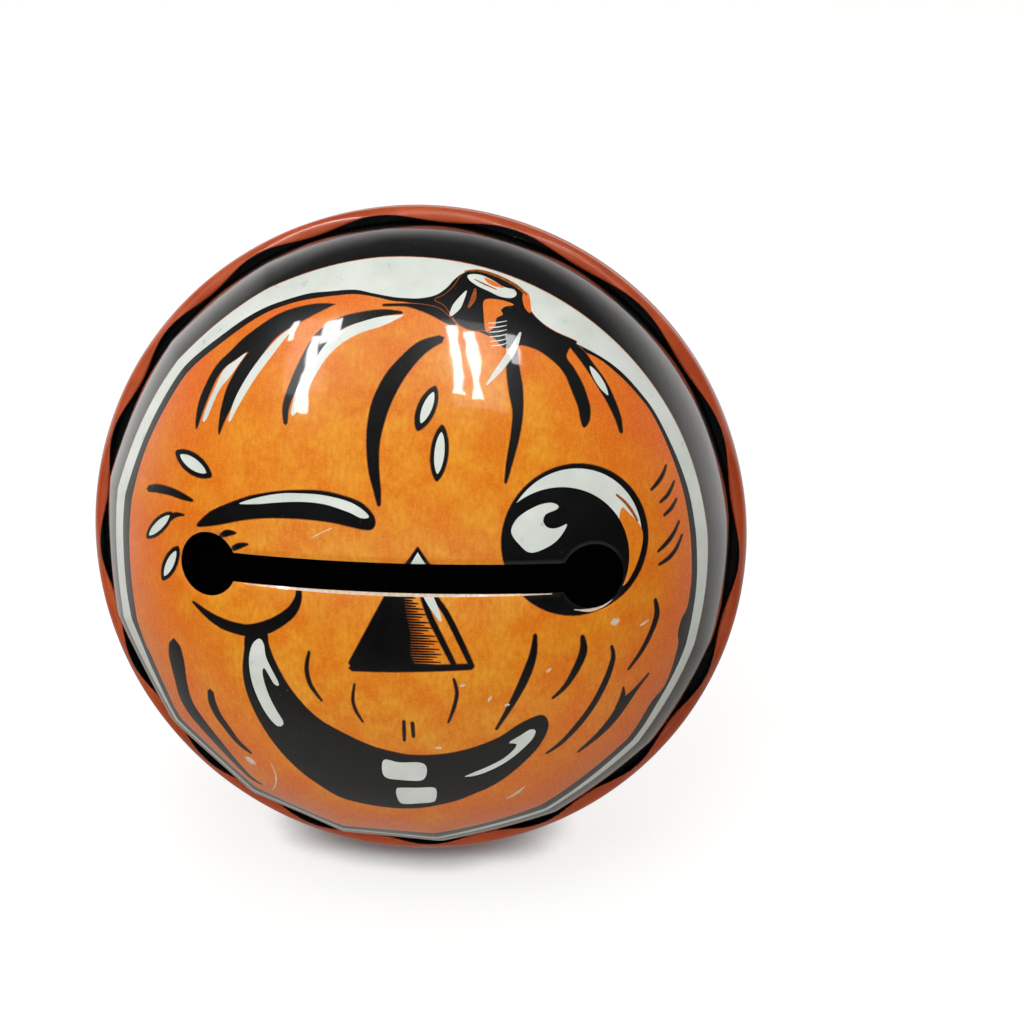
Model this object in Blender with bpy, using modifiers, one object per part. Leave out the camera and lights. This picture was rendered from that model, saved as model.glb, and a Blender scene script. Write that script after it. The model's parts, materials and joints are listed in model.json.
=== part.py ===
"""Tin jingle-bell noisemaker: two stamped domes crimped together, pellets, and a wooden handle.

The bell's own frame has X to the right along the slot, Y up across the face and Z out of the face
along the bell's axis. Its origin is the centre of the back shell's widest circle. The whole toy then
leans back until the rim and the butt of the handle both touch the floor, Z = 0, facing -Y.
"""

from math import asin, atan2, cos, pi, radians, sin, sqrt

import bmesh
import bpy
from mathutils import Matrix, Vector

MM = 0.001

# Fits
GAP = 0.3 * MM                     # clearance between pieces that touch
MERGE = 0.001 * MM                 # welds a profile's points on the axis

# Tinplate
SHEET = 0.3 * MM
SHELL_STEPS = 64                   # facets around each shell
DOME_STEPS = 12                    # facets from a dome's edge to its pole
ROUND_STEPS = 3                    # facets of a small round, on sheet or wood
SMOOTH_ANGLE = radians(35)         # faces that meet at less than this are shaded as one

# Back shell
RIM_RADIUS = 44.5 * MM             # widest circle of the bell
BACK_RISE = 26.0 * MM              # of the full ellipse, before the pole is flattened
SEAT_RADIUS = 9.0 * MM             # flat at the pole that the handle bears on
RIM_BAND = 0.75 * MM               # plain band ahead of the widest circle
BEAD_WIDTH = 1.6 * MM              # rolled groove that seats the flange
BEAD_DEPTH = 0.9 * MM
BEAD_STEPS = 6
LIP_RISE = 1.6 * MM                # height of the curl over the flange
LIP_REACH = 1.45 * MM              # how far the curl comes in, between the waves
LIP_STEPS = 4
CRIMPS = 16                        # waves of the lip
CRIMP_DEPTH = 0.5 * MM
CRIMP_LIFT = 0.3                   # rise of the lip for each unit it moves out
CRIMP_START = radians(115.5)       # angle of one outward wave
CRIMP_DRIFT = ((1, radians(3.5), radians(126)), (2, radians(2.3), radians(84)))  # uneven spacing

# Front shell
FRONT_RISE = 25.35 * MM            # pole above the foot of the dome
SKIRT_GAP = 0.35 * MM              # between the deepest wave of the lip and the skirt
SKIRT_FILLET = 0.4 * MM
SLOT_WIDTH = 3.7 * MM
SLOT_HOLE_RADIUS = 4.2 * MM        # round ends of the slot, measured in the sheet
SLOT_HOLE_SPACING = 48.7 * MM
SLOT_HOLE_FACETS = 24
CUTTER_DEPTH = 4.0 * MM            # how far each cutter passes the sheet, on either side

# Pellets
PELLET_RADIUS = 4.75 * MM
PELLET_SEGMENTS = 20
PELLET_RINGS = 12
PELLET_COUNT = 3
PELLET_MIDDLE = -3.0 * MM          # station of the middle pellet along the bell's axis
PELLET_PLAY = 0.5 * MM             # free space between neighbouring pellets
WALL_FINENESS = 20                 # points per dome facet when the pellets' room is measured

# Handle and its fixing
HANDLE_LENGTH = 92.0 * MM
HANDLE_STEPS = 32
COLLAR_RADIUS = 8.0 * MM           # against the shell
COLLAR_LENGTH = 4.0 * MM
NECK_RADIUS = 5.8 * MM
NECK_AT = 14.0 * MM
NECK_STEPS = 3
BELLY_RADIUS = 9.5 * MM
BELLY_AT = 62.0 * MM
BELLY_STEPS = 8
BUTT_RADIUS = 7.8 * MM
TAPER_STEPS = 5                    # from the belly to the butt
BUTT_ROUND = 2.6 * MM
BUTT_STEPS = 4
EDGE_ROUND = 0.8 * MM              # eased edges of the collar
NAIL_RADIUS = 1.3 * MM
NAIL_LENGTH = 24.0 * MM            # of shank under the head
NAIL_POINT = 3.0 * MM
NAIL_HEAD_RADIUS = 3.6 * MM
NAIL_HEAD_HEIGHT = 1.3 * MM
NAIL_HEAD_STEPS = 4
NAIL_STEPS = 24
WASHER_RADIUS = 7.0 * MM
WASHER_THICKNESS = 0.8 * MM

# Rest pose
LEAN_HALVINGS = 60                 # steps in which the resting lean is closed in on

# Looks, as base colour, roughness and metallic
PRINTED_TIN = ((0.74, 0.26, 0.02), 0.25, 0.0)
ORANGE_TIN = ((0.5, 0.07, 0.005), 0.3, 0.0)
TURNED_WOOD = ((0.5, 0.3, 0.13), 0.45, 0.0)
PLAIN_STEEL = ((0.45, 0.45, 0.46), 0.4, 1.0)
PELLET_STEEL = ((0.5, 0.5, 0.52), 0.3, 1.0)

# Worked out from the sizes above
BEAD_BOTTOM = RIM_BAND
BEAD_TOP = BEAD_BOTTOM + BEAD_WIDTH
LIP_TOP = BEAD_TOP + LIP_RISE
COLLAR_WALL = RIM_RADIUS - SHEET
LIP_EDGE = RIM_RADIUS - LIP_REACH
SKIRT_RADIUS = LIP_EDGE - CRIMP_DEPTH - SKIRT_GAP
FRONT_FOOT = LIP_TOP - SHEET / 2
FLANGE_RADIUS = COLLAR_WALL - GAP - SHEET / 2
SEAT_ANGLE = asin(SEAT_RADIUS / RIM_RADIUS)
SEAT_PLANE = -BACK_RISE * cos(SEAT_ANGLE)
HANDLE_FRONT = SEAT_PLANE - GAP
NAIL_BORE_RADIUS = NAIL_RADIUS + GAP
WASHER_BOTTOM = SEAT_PLANE + SHEET + GAP
NAIL_HEAD_BOTTOM = WASHER_BOTTOM + WASHER_THICKNESS + GAP
HALF_FACET = pi / SHELL_STEPS


def ellipse(radius, rise, centre, start, end, steps):
    """Points of an ellipse about the axis, by angle from the pole, as (radius, height)."""
    points = []
    for step in range(steps + 1):
        angle = start + (end - start) * step / steps
        points.append((radius * sin(angle), centre + rise * cos(angle)))
    return points


def arc(centre, radius, start, end, steps):
    """Points of a circular arc in the profile plane, as (radius, height)."""
    points = []
    for step in range(steps + 1):
        angle = start + (end - start) * step / steps
        points.append((centre[0] + radius * cos(angle), centre[1] + radius * sin(angle)))
    return points


def bead():
    """The rolled groove, from its top edge to its bottom edge, as (radius, height)."""
    points = []
    for step in range(BEAD_STEPS + 1):
        share = step / BEAD_STEPS
        depth = BEAD_DEPTH * (1 - cos(2 * pi * share)) / 2
        points.append((RIM_RADIUS - depth, BEAD_TOP - BEAD_WIDTH * share))
    return points


def bead_seat():
    """Height where the inside of the groove first comes in as far as the flange's edge."""
    fall = (RIM_RADIUS - SHEET - FLANGE_RADIUS) / BEAD_DEPTH
    share = 1 - asin(sqrt(fall)) / pi
    return BEAD_TOP - BEAD_WIDTH * (1 - share)


def front_profile():
    """Outside of the front shell, from the pole to the edge of the flange."""
    flange_top = bead_seat() + GAP + SHEET
    points = ellipse(SKIRT_RADIUS, FRONT_RISE, FRONT_FOOT, 0, pi / 2, DOME_STEPS)
    corner = (SKIRT_RADIUS + SKIRT_FILLET, flange_top + SKIRT_FILLET)
    points += arc(corner, SKIRT_FILLET, pi, 1.5 * pi, ROUND_STEPS)
    points.append((FLANGE_RADIUS, flange_top))
    return points


def back_profile():
    """Outside of the back shell, from the lip's edge to the nail hole at the pole."""
    points = ellipse(LIP_REACH, LIP_RISE, BEAD_TOP, 0, pi / 2, LIP_STEPS)
    points = [(LIP_EDGE + reach, height) for reach, height in points]
    points += bead()[1:]
    points += ellipse(RIM_RADIUS, BACK_RISE, 0, pi / 2, pi - SEAT_ANGLE, DOME_STEPS)
    points.append((NAIL_BORE_RADIUS, SEAT_PLANE))
    return points


def smooth_step(share):
    return share * share * (3 - 2 * share)


def swell(start, end, steps):
    """Smooth turned stretch between two (radius, distance) stations of the handle."""
    points = []
    for step in range(steps + 1):
        share = step / steps
        radius = start[0] + (end[0] - start[0]) * smooth_step(share)
        points.append((radius, start[1] + (end[1] - start[1]) * share))
    return points


def handle_profile():
    """Handle from the bottom of its nail bore, over the collar and belly, to the butt's centre."""
    bore_depth = NAIL_LENGTH - (NAIL_HEAD_BOTTOM - HANDLE_FRONT) + GAP
    points = [(0, -bore_depth), (NAIL_BORE_RADIUS, -bore_depth), (NAIL_BORE_RADIUS, 0)]
    collar_edge = COLLAR_RADIUS - EDGE_ROUND
    collar_end = EDGE_ROUND - COLLAR_LENGTH
    neck = (NECK_RADIUS, -NECK_AT)
    belly = (BELLY_RADIUS, -BELLY_AT)
    shoulder = BUTT_ROUND - HANDLE_LENGTH
    points += arc((collar_edge, -EDGE_ROUND), EDGE_ROUND, pi / 2, 0, ROUND_STEPS)
    points += arc((collar_edge, collar_end), EDGE_ROUND, 0, -pi / 2, ROUND_STEPS)
    points += swell((NECK_RADIUS + EDGE_ROUND, -COLLAR_LENGTH), neck, NECK_STEPS)[1:]
    points += swell(neck, belly, BELLY_STEPS)[1:]
    points += swell(belly, (BUTT_RADIUS, shoulder), TAPER_STEPS)[1:]
    points += arc((BUTT_RADIUS - BUTT_ROUND, shoulder), BUTT_ROUND, 0, -pi / 2, BUTT_STEPS)[1:]
    points.append((0, -HANDLE_LENGTH))
    return [(radius, HANDLE_FRONT + distance) for radius, distance in points]


def nail_profile():
    """Nail from the top of its domed head to its point."""
    crown = ellipse(NAIL_HEAD_RADIUS, NAIL_HEAD_HEIGHT / 2, 0, 0, pi / 2, NAIL_HEAD_STEPS)
    points = [(radius, NAIL_HEAD_BOTTOM + NAIL_HEAD_HEIGHT / 2 + height) for radius, height in crown]
    points.append((NAIL_HEAD_RADIUS, NAIL_HEAD_BOTTOM))
    points.append((NAIL_RADIUS, NAIL_HEAD_BOTTOM))
    points.append((NAIL_RADIUS, NAIL_HEAD_BOTTOM - NAIL_LENGTH + NAIL_POINT))
    points.append((0, NAIL_HEAD_BOTTOM - NAIL_LENGTH))
    return points


def washer_profile():
    """Square section of the washer, closed."""
    top = WASHER_BOTTOM + WASHER_THICKNESS
    inner = NAIL_BORE_RADIUS
    corners = [(inner, top), (WASHER_RADIUS, top), (WASHER_RADIUS, WASHER_BOTTOM), (inner, WASHER_BOTTOM)]
    return corners + corners[:1]


def support(profile, steps, lean):
    """How far a turned piece reaches below the bell's centre once the bell leans back."""
    flat = cos(pi / steps)
    return max(radius * flat * cos(lean) - height * sin(lean) for radius, height in profile)


def resting_lean():
    """Angle at which the rim and the butt of the handle reach equally low."""
    low = 0.0
    high = pi / 2
    for _ in range(LEAN_HALVINGS):
        lean = (low + high) / 2
        rim = support(back_profile(), SHELL_STEPS, lean)
        butt = support(handle_profile(), HANDLE_STEPS, lean)
        if rim > butt:
            low = lean
        else:
            high = lean
    return low


def inside_wall():
    """Finely spaced inside faces of both shells that a pellet rolls past, as (radius, height)."""
    fine = WALL_FINENESS * DOME_STEPS
    skirt_radius = SKIRT_RADIUS - SHEET
    skirt_foot = bead_seat()
    skirt_step = (FRONT_FOOT - skirt_foot) / fine
    front = ellipse(skirt_radius, FRONT_RISE - SHEET, FRONT_FOOT, 0, pi / 2, fine)
    skirt = [(skirt_radius, skirt_foot + skirt_step * step) for step in range(fine)]
    back = ellipse(COLLAR_WALL, BACK_RISE - SHEET, 0, pi / 2, pi - SEAT_ANGLE, fine)
    return front + skirt + back


def orbit_radius(station):
    """Distance from the axis at which a pellet just clears the inside of the bell."""
    reach = PELLET_RADIUS + GAP
    room = []
    for radius, height in inside_wall():
        if abs(height - station) < reach:
            room.append(radius * cos(HALF_FACET) - sqrt(reach ** 2 - (height - station) ** 2))
    return min(room)


def new_object(name, mesh, collection):
    piece = bpy.data.objects.new(name, mesh)
    collection.objects.link(piece)
    return piece


def turned(name, profile, steps, collection):
    """Turned piece: a profile beside the Z axis, swept round by a Screw modifier."""
    mesh = bpy.data.meshes.new(name)
    closed = profile[0] == profile[-1]
    points = profile[:-1] if closed else profile
    edges = [(index, index + 1) for index in range(len(points) - 1)]
    if closed:
        edges.append((len(points) - 1, 0))
    mesh.from_pydata([(radius, 0, height) for radius, height in points], edges, [])
    piece = new_object(name, mesh, collection)
    piece.rotation_euler.z = pi / steps
    screw = piece.modifiers.new("Turn", "SCREW")
    screw.steps = steps
    screw.render_steps = steps
    screw.use_merge_vertices = True
    screw.merge_threshold = MERGE
    return piece


def apply_modifiers(piece):
    """Replace a piece's mesh with what its modifiers make of it."""
    evaluated = piece.evaluated_get(bpy.context.evaluated_depsgraph_get())
    mesh = bpy.data.meshes.new_from_object(evaluated)
    piece.modifiers.clear()
    piece.data = mesh


def thicken(piece):
    """Give an open sheet its thickness on the inside."""
    solidify = piece.modifiers.new("Sheet", "SOLIDIFY")
    solidify.thickness = SHEET
    solidify.offset = -1
    solidify.use_even_offset = True


def crimp_wave(angle):
    """One at the outward waves of the lip and minus one at the inward ones."""
    drift = sum(size * sin(order * angle + phase) for order, size, phase in CRIMP_DRIFT)
    return cos(CRIMPS * (angle + drift - CRIMP_START))


def crimp_lip(piece):
    """Wave the curl of the back shell in and out, most at its edge and not at all at the bead."""
    for vertex in piece.data.vertices:
        share = (vertex.co.z - BEAD_TOP) / LIP_RISE
        if share <= 0:
            continue
        angle = atan2(vertex.co.y, vertex.co.x) + piece.rotation_euler.z
        shift = CRIMP_DEPTH * smooth_step(share) * crimp_wave(angle)
        radius = vertex.co.xy.length
        vertex.co.x *= (radius + shift) / radius
        vertex.co.y *= (radius + shift) / radius
        vertex.co.z += CRIMP_LIFT * shift


def cutter(name, build, matrix, collection):
    """Hidden wireframe shape that a Boolean takes away."""
    mesh = bpy.data.meshes.new(name)
    shape = bmesh.new()
    build(shape)
    shape.to_mesh(mesh)
    shape.free()
    piece = new_object(name, mesh, collection)
    piece.matrix_local = matrix
    piece.hide_render = True
    piece.display_type = "WIRE"
    return piece


def slot_cutters(collection):
    """The straight slot through the pole, and a round hole square to the sheet at each end of it."""
    share = SLOT_HOLE_SPACING / 2 / SKIRT_RADIUS
    hole_height = FRONT_FOOT + FRONT_RISE * sqrt(1 - share ** 2)
    pole = FRONT_FOOT + FRONT_RISE
    slot_bottom = hole_height - CUTTER_DEPTH
    slot_top = pole + CUTTER_DEPTH
    slot_size = Vector((SLOT_HOLE_SPACING, SLOT_WIDTH, slot_top - slot_bottom))

    def slot(shape):
        bmesh.ops.create_cube(shape, size=1, matrix=Matrix.Diagonal(slot_size.to_4d()))

    def hole(shape):
        bmesh.ops.create_cone(shape, cap_ends=True, segments=SLOT_HOLE_FACETS, radius1=SLOT_HOLE_RADIUS,
                              radius2=SLOT_HOLE_RADIUS, depth=2 * CUTTER_DEPTH)

    middle = Matrix.Translation((0, 0, (slot_bottom + slot_top) / 2))
    pieces = [cutter("slot_cutter", slot, middle, collection)]
    for name, side in (("left_hole_cutter", -1), ("right_hole_cutter", 1)):
        centre = Vector((side * SLOT_HOLE_SPACING / 2, 0, hole_height))
        normal = Vector((centre.x / SKIRT_RADIUS ** 2, 0, (hole_height - FRONT_FOOT) / FRONT_RISE ** 2))
        turn = normal.to_track_quat("Z", "Y").to_matrix().to_4x4()
        pieces.append(cutter(name, hole, Matrix.Translation(centre) @ turn, collection))
    return pieces


def finish(piece, colour, roughness, metallic):
    """The piece's own material, and smooth shading with its real edges kept."""
    material = bpy.data.materials.new(piece.name)
    material.use_nodes = True
    shader = material.node_tree.nodes["Principled BSDF"]
    shader.inputs["Base Color"].default_value = (*colour, 1)
    shader.inputs["Roughness"].default_value = roughness
    shader.inputs["Metallic"].default_value = metallic
    piece.data.materials.append(material)
    piece.data.shade_smooth()
    piece.data.set_sharp_from_angle(angle=SMOOTH_ANGLE)


def front_shell(parts, cutters):
    piece = turned("front_shell", front_profile(), SHELL_STEPS, parts)
    apply_modifiers(piece)
    thicken(piece)
    for shape in cutters:
        cut = piece.modifiers.new("Cut", "BOOLEAN")
        cut.operation = "DIFFERENCE"
        cut.solver = "EXACT"
        cut.object = shape
    finish(piece, *PRINTED_TIN)
    return piece


def back_shell(parts):
    piece = turned("back_shell", back_profile(), SHELL_STEPS, parts)
    apply_modifiers(piece)
    crimp_lip(piece)
    thicken(piece)
    finish(piece, *ORANGE_TIN)
    return piece


def turned_solid(name, profile, steps, parts, look):
    piece = turned(name, profile, steps, parts)
    apply_modifiers(piece)
    finish(piece, *look)
    return piece


def pellet(index, parts, bell):
    """A ball at the bottom of the bell, hung from an empty on the axis that it rolls round."""
    station = PELLET_MIDDLE + (PELLET_COUNT // 2 - index) * (2 * PELLET_RADIUS + PELLET_PLAY)
    pivot = bpy.data.objects.new(f"pellet_{index + 1}_pivot", None)
    parts.objects.link(pivot)
    pivot.parent = bell
    pivot.location.z = station
    mesh = bpy.data.meshes.new(f"pellet_{index + 1}")
    ball = bmesh.new()
    bmesh.ops.create_uvsphere(ball, u_segments=PELLET_SEGMENTS, v_segments=PELLET_RINGS, radius=PELLET_RADIUS)
    ball.to_mesh(mesh)
    ball.free()
    piece = new_object(mesh.name, mesh, parts)
    piece.parent = pivot
    piece.location.y = -orbit_radius(station)
    finish(piece, *PELLET_STEEL)


def centre_on_floor(bell, parts):
    """Slide the toy along Y until its bounding box is centred there."""
    graph = bpy.context.evaluated_depsgraph_get()
    graph.update()
    reach = []
    for piece in parts.objects:
        if piece.type == "MESH":
            evaluated = piece.evaluated_get(graph)
            reach += [(evaluated.matrix_world @ vertex.co).y for vertex in evaluated.data.vertices]
    bell.location.y = -(min(reach) + max(reach)) / 2


def main():
    for old in list(bpy.data.objects):
        bpy.data.objects.remove(old)
    parts = bpy.data.collections.new("tin_bell_noisemaker")
    cutters = bpy.data.collections.new("cutters")
    bpy.context.scene.collection.children.link(parts)
    bpy.context.scene.collection.children.link(cutters)

    lean = resting_lean()
    bell = bpy.data.objects.new("bell", None)
    parts.objects.link(bell)
    bell.rotation_euler.x = pi / 2 - lean
    bell.location.z = support(back_profile(), SHELL_STEPS, lean)

    shapes = slot_cutters(cutters)
    pieces = [front_shell(parts, shapes), back_shell(parts)]
    pieces.append(turned_solid("handle", handle_profile(), HANDLE_STEPS, parts, TURNED_WOOD))
    pieces.append(turned_solid("handle_nail", nail_profile(), NAIL_STEPS, parts, PLAIN_STEEL))
    pieces.append(turned_solid("nail_washer", washer_profile(), NAIL_STEPS, parts, PLAIN_STEEL))
    for piece in pieces + shapes:
        piece.parent = bell
    for index in range(PELLET_COUNT):
        pellet(index, parts, bell)
    centre_on_floor(bell, parts)


main()
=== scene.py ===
# %% [markdown]
# # A pressed tin bell with a printed face
# A party noisemaker: two stamped tin domes held together by a crimped rim, three loose steel
# pellets inside, and a turned wooden handle nailed on behind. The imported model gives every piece
# its place, so this lesson builds the looks round that frame: fine pressed sheet, printed inks
# under varnish, turned wood and plain steel.

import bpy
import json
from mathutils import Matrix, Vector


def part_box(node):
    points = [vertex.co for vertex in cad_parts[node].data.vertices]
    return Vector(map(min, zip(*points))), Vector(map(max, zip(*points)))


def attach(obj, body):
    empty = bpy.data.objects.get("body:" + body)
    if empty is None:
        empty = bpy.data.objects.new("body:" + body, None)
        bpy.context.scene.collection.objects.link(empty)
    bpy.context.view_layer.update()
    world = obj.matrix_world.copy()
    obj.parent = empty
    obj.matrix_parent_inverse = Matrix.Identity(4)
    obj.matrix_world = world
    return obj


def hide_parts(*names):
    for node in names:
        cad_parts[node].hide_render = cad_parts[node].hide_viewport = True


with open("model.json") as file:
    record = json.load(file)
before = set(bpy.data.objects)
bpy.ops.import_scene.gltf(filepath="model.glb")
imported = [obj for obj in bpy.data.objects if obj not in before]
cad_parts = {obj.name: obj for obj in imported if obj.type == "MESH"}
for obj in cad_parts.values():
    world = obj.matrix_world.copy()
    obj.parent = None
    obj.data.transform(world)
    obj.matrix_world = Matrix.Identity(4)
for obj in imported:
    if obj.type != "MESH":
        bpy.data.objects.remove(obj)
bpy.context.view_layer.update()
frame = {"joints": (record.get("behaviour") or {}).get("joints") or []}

# %% [markdown]
# ## The bell's own axes
# The toy lies back on its rim and on the butt of its handle, so nothing on it is square to the
# floor. It could be modelled upright and rotated, but a finished piece has to sit at the origin
# with its place in its mesh. So every piece is drawn in millimetres on the bell's own axes, with
# X along the slot, Y up the face and Z out of the face, and one matrix carries it into the scene.
# The pellets' joints turn about the bell's axis, so a joint gives both the axis and the centre.

# %% Find the bell's axes
import json
import math
from bisect import bisect_right

import bmesh
import bpy
from mathutils import Matrix, Vector
from mathutils.geometry import delaunay_2d_cdt

MM = 0.001
MIDDLE_PELLET_STATION = -3.0
middle_joint = next(joint for joint in frame["joints"] if joint["name"] == "middle_ball_roll")
bell_axis = Vector(middle_joint["axis"]).normalized()
bell_centre = Vector(middle_joint["pos_m"]) - MIDDLE_PELLET_STATION * MM * bell_axis
along_slot = Vector((1, 0, 0))
bell_turn = Matrix((along_slot, bell_axis.cross(along_slot), bell_axis)).transposed()
place = Matrix.Translation(bell_centre) @ bell_turn.to_4x4() @ Matrix.Scale(MM, 4)
print("the bell leans back", round(math.degrees(math.asin(bell_axis.z)), 2), "degrees")

# %% [markdown]
# ## Turning pieces with Geometry Nodes
# The back shell was spun or pressed round, the handle came off a lathe, and the nail and washer
# are round too. A Screw modifier or Spin would do, but one node tree serves them all and can also
# wave the shell's lip. The tree lays out a grid whose columns are steps round the axis and whose
# rows are points of a drawn profile, then bends the grid round and welds its seam and poles.

# %% A helper for sums made of nodes
def calc(tree, operation, *values):
    """One Math node: values are sockets or plain numbers."""
    node = tree.nodes.new("ShaderNodeMath")
    node.operation = operation
    for socket, value in zip(node.inputs, values):
        if isinstance(value, bpy.types.NodeSocket):
            tree.links.new(value, socket)
        else:
            socket.default_value = value
    return node.outputs[0]


def step(tree, kind, values=(), **settings):
    """Any node: settings are its options, values its inputs by name."""
    node = tree.nodes.new(kind)
    for name, value in settings.items():
        setattr(node, name, value)
    for name, value in dict(values).items():
        if isinstance(value, bpy.types.NodeSocket):
            tree.links.new(value, node.inputs[name])
        else:
            node.inputs[name].default_value = value
    return node


# %% Build the turning tree
LIP_WAVES = 16
LIP_DRIFTS = ((1, math.radians(3.5), math.radians(126)), (2, math.radians(2.3), math.radians(84)))


def build_turning_tree():
    """Turns a profile of (radius, 0, height) points about Z; its 'wave' attribute sways the lip."""
    tree = bpy.data.node_groups.new("Turn a profile", "GeometryNodeTree")
    face = tree.interface
    face.new_socket("Profile", in_out="INPUT", socket_type="NodeSocketGeometry")
    face.new_socket("Steps", in_out="INPUT", socket_type="NodeSocketInt")
    face.new_socket("Waves", in_out="INPUT", socket_type="NodeSocketInt")
    face.new_socket("Wave Depth", in_out="INPUT", socket_type="NodeSocketFloat")
    face.new_socket("Wave Lift", in_out="INPUT", socket_type="NodeSocketFloat")
    face.new_socket("Wave Start", in_out="INPUT", socket_type="NodeSocketFloat")
    face.new_socket("Material", in_out="INPUT", socket_type="NodeSocketMaterial")
    face.new_socket("Geometry", in_out="OUTPUT", socket_type="NodeSocketGeometry")
    given = tree.nodes.new("NodeGroupInput").outputs
    size = step(tree, "GeometryNodeAttributeDomainSize", {"Geometry": given["Profile"]})
    rows = size.outputs["Point Count"]
    columns = calc(tree, "ADD", given["Steps"], 1)
    grid = step(tree, "GeometryNodeMeshGrid", {"Vertices X": columns, "Vertices Y": rows})
    index = tree.nodes.new("GeometryNodeInputIndex").outputs[0]
    column = calc(tree, "FLOOR", calc(tree, "DIVIDE", calc(tree, "ADD", index, 0.5), rows))
    row = calc(tree, "SUBTRACT", index, calc(tree, "MULTIPLY", column, rows))
    position = tree.nodes.new("GeometryNodeInputPosition").outputs[0]
    spot = step(tree, "GeometryNodeSampleIndex",
                {"Geometry": given["Profile"], "Value": position, "Index": row}, data_type="FLOAT_VECTOR")
    profile = step(tree, "ShaderNodeSeparateXYZ", {"Vector": spot.outputs[0]}).outputs
    wave = step(tree, "GeometryNodeInputNamedAttribute", {"Name": "wave"}, data_type="FLOAT")
    share = step(tree, "GeometryNodeSampleIndex",
                 {"Geometry": given["Profile"], "Value": wave.outputs["Attribute"], "Index": row})
    turn = calc(tree, "DIVIDE", calc(tree, "MULTIPLY", column, 2 * math.pi), given["Steps"])
    drifted = calc(tree, "SUBTRACT", turn, given["Wave Start"])
    for order, amount, phase in LIP_DRIFTS:
        sway = calc(tree, "SINE", calc(tree, "ADD", calc(tree, "MULTIPLY", turn, order), phase))
        drifted = calc(tree, "ADD", drifted, calc(tree, "MULTIPLY", sway, amount))
    swing = calc(tree, "COSINE", calc(tree, "MULTIPLY", drifted, given["Waves"]))
    shift = calc(tree, "MULTIPLY", calc(tree, "MULTIPLY", swing, share.outputs[0]), given["Wave Depth"])
    radius = calc(tree, "ADD", profile["X"], shift)
    height = calc(tree, "ADD", profile["Z"], calc(tree, "MULTIPLY", shift, given["Wave Lift"]))
    turned = step(tree, "ShaderNodeCombineXYZ", {
        "X": calc(tree, "MULTIPLY", radius, calc(tree, "COSINE", turn)),
        "Y": calc(tree, "MULTIPLY", radius, calc(tree, "SINE", turn)),
        "Z": height})
    placed = step(tree, "GeometryNodeSetPosition",
                  {"Geometry": grid.outputs["Mesh"], "Position": turned.outputs[0]})
    welded = step(tree, "GeometryNodeMergeByDistance", {"Geometry": placed.outputs[0], "Distance": 0.002})
    real = step(tree, "GeometryNodeRealizeInstances", {"Geometry": welded.outputs[0]})
    painted = step(tree, "GeometryNodeSetMaterial",
                   {"Geometry": real.outputs[0], "Material": given["Material"]})
    tree.links.new(painted.outputs[0], tree.nodes.new("NodeGroupOutput").inputs[0])
    return tree


turning_tree = build_turning_tree()
print("the turning tree has", len(turning_tree.nodes), "nodes")

# %% Turn one piece on the tree
SHARP_ANGLE = math.radians(35)


def set_inputs(modifier, values):
    """Fills a modifier's inputs by their socket identifiers."""
    sockets = {item.name: item.identifier for item in modifier.node_group.interface.items_tree
               if item.in_out == "INPUT"}
    for name, value in values.items():
        modifier[sockets[name]] = value


def face_outward(mesh, probe):
    """Makes every face look the same way, then outward at the face farthest along probe."""
    shape = bmesh.new()
    shape.from_mesh(mesh)
    bmesh.ops.recalc_face_normals(shape, faces=shape.faces)
    far = max(shape.faces, key=lambda face: face.calc_center_median().dot(probe))
    if far.normal.dot(probe) < 0:
        bmesh.ops.reverse_faces(shape, faces=shape.faces)
    shape.to_mesh(mesh)
    shape.free()


def turn_piece(name, profile, steps, material, waves=(), depth=0.0, lift=0.0, start=0.0):
    """A plain mesh object turned from (radius, height) points, in place in the scene."""
    line = bpy.data.meshes.new(name)
    line.from_pydata([(radius, 0, height) for radius, height in profile],
                     [(index, index + 1) for index in range(len(profile) - 1)], [])
    line.attributes.new("wave", "FLOAT", "POINT").data.foreach_set("value", waves or [0.0] * len(profile))
    piece = bpy.data.objects.new(name, line)
    bpy.context.scene.collection.objects.link(piece)
    modifier = piece.modifiers.new("Turn", "NODES")
    modifier.node_group = turning_tree
    set_inputs(modifier, {"Steps": steps, "Waves": LIP_WAVES, "Wave Depth": depth, "Wave Lift": lift,
                          "Wave Start": start, "Material": material})
    mesh = bpy.data.meshes.new_from_object(piece.evaluated_get(bpy.context.evaluated_depsgraph_get()))
    piece.modifiers.clear()
    piece.data = mesh
    mesh.transform(place)
    face_outward(mesh, bell_turn @ Vector((1, 0, 0)))
    mesh.shade_smooth()
    mesh.set_sharp_from_angle(angle=SHARP_ANGLE)
    print(name, "has", len(mesh.polygons), "faces")
    return piece


def bend(centre, radius, start, end, steps, rise=None):
    """Points of a round stretch of a profile, by angle in degrees, as (radius, height)."""
    points = []
    for count in range(steps + 1):
        angle = math.radians(start + (end - start) * count / steps)
        points.append((centre[0] + radius * math.cos(angle), centre[1] + (rise or radius) * math.sin(angle)))
    return points


def ease(share):
    """Smooth step from 0 to 1."""
    share = min(max(share, 0.0), 1.0)
    return share * share * (3 - 2 * share)


# %% [markdown]
# ## Materials for enamel, tin, wood and steel
# A flat colour would look like plastic. Each finish here is a small node tree with the detail the
# real one shows: enamel with faint clouding and dust specks, bare tin with streaks, wood with
# grain that runs along the handle, steel with fine scratches. Patterns read Object coordinates
# through a Mapping node that centres them on the bell and turns them onto its axes, in
# millimetres, so a size in a node is a size on the toy.

# %% Start a material on the bell's axes
def linear(red, green, blue):
    """A screen colour, 0 to 255, as the linear colour that a shader wants."""
    return tuple(((value / 255 + 0.055) / 1.055) ** 2.4 if value > 10 else value / 3294.6
                 for value in (red, green, blue)) + (1.0,)


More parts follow.
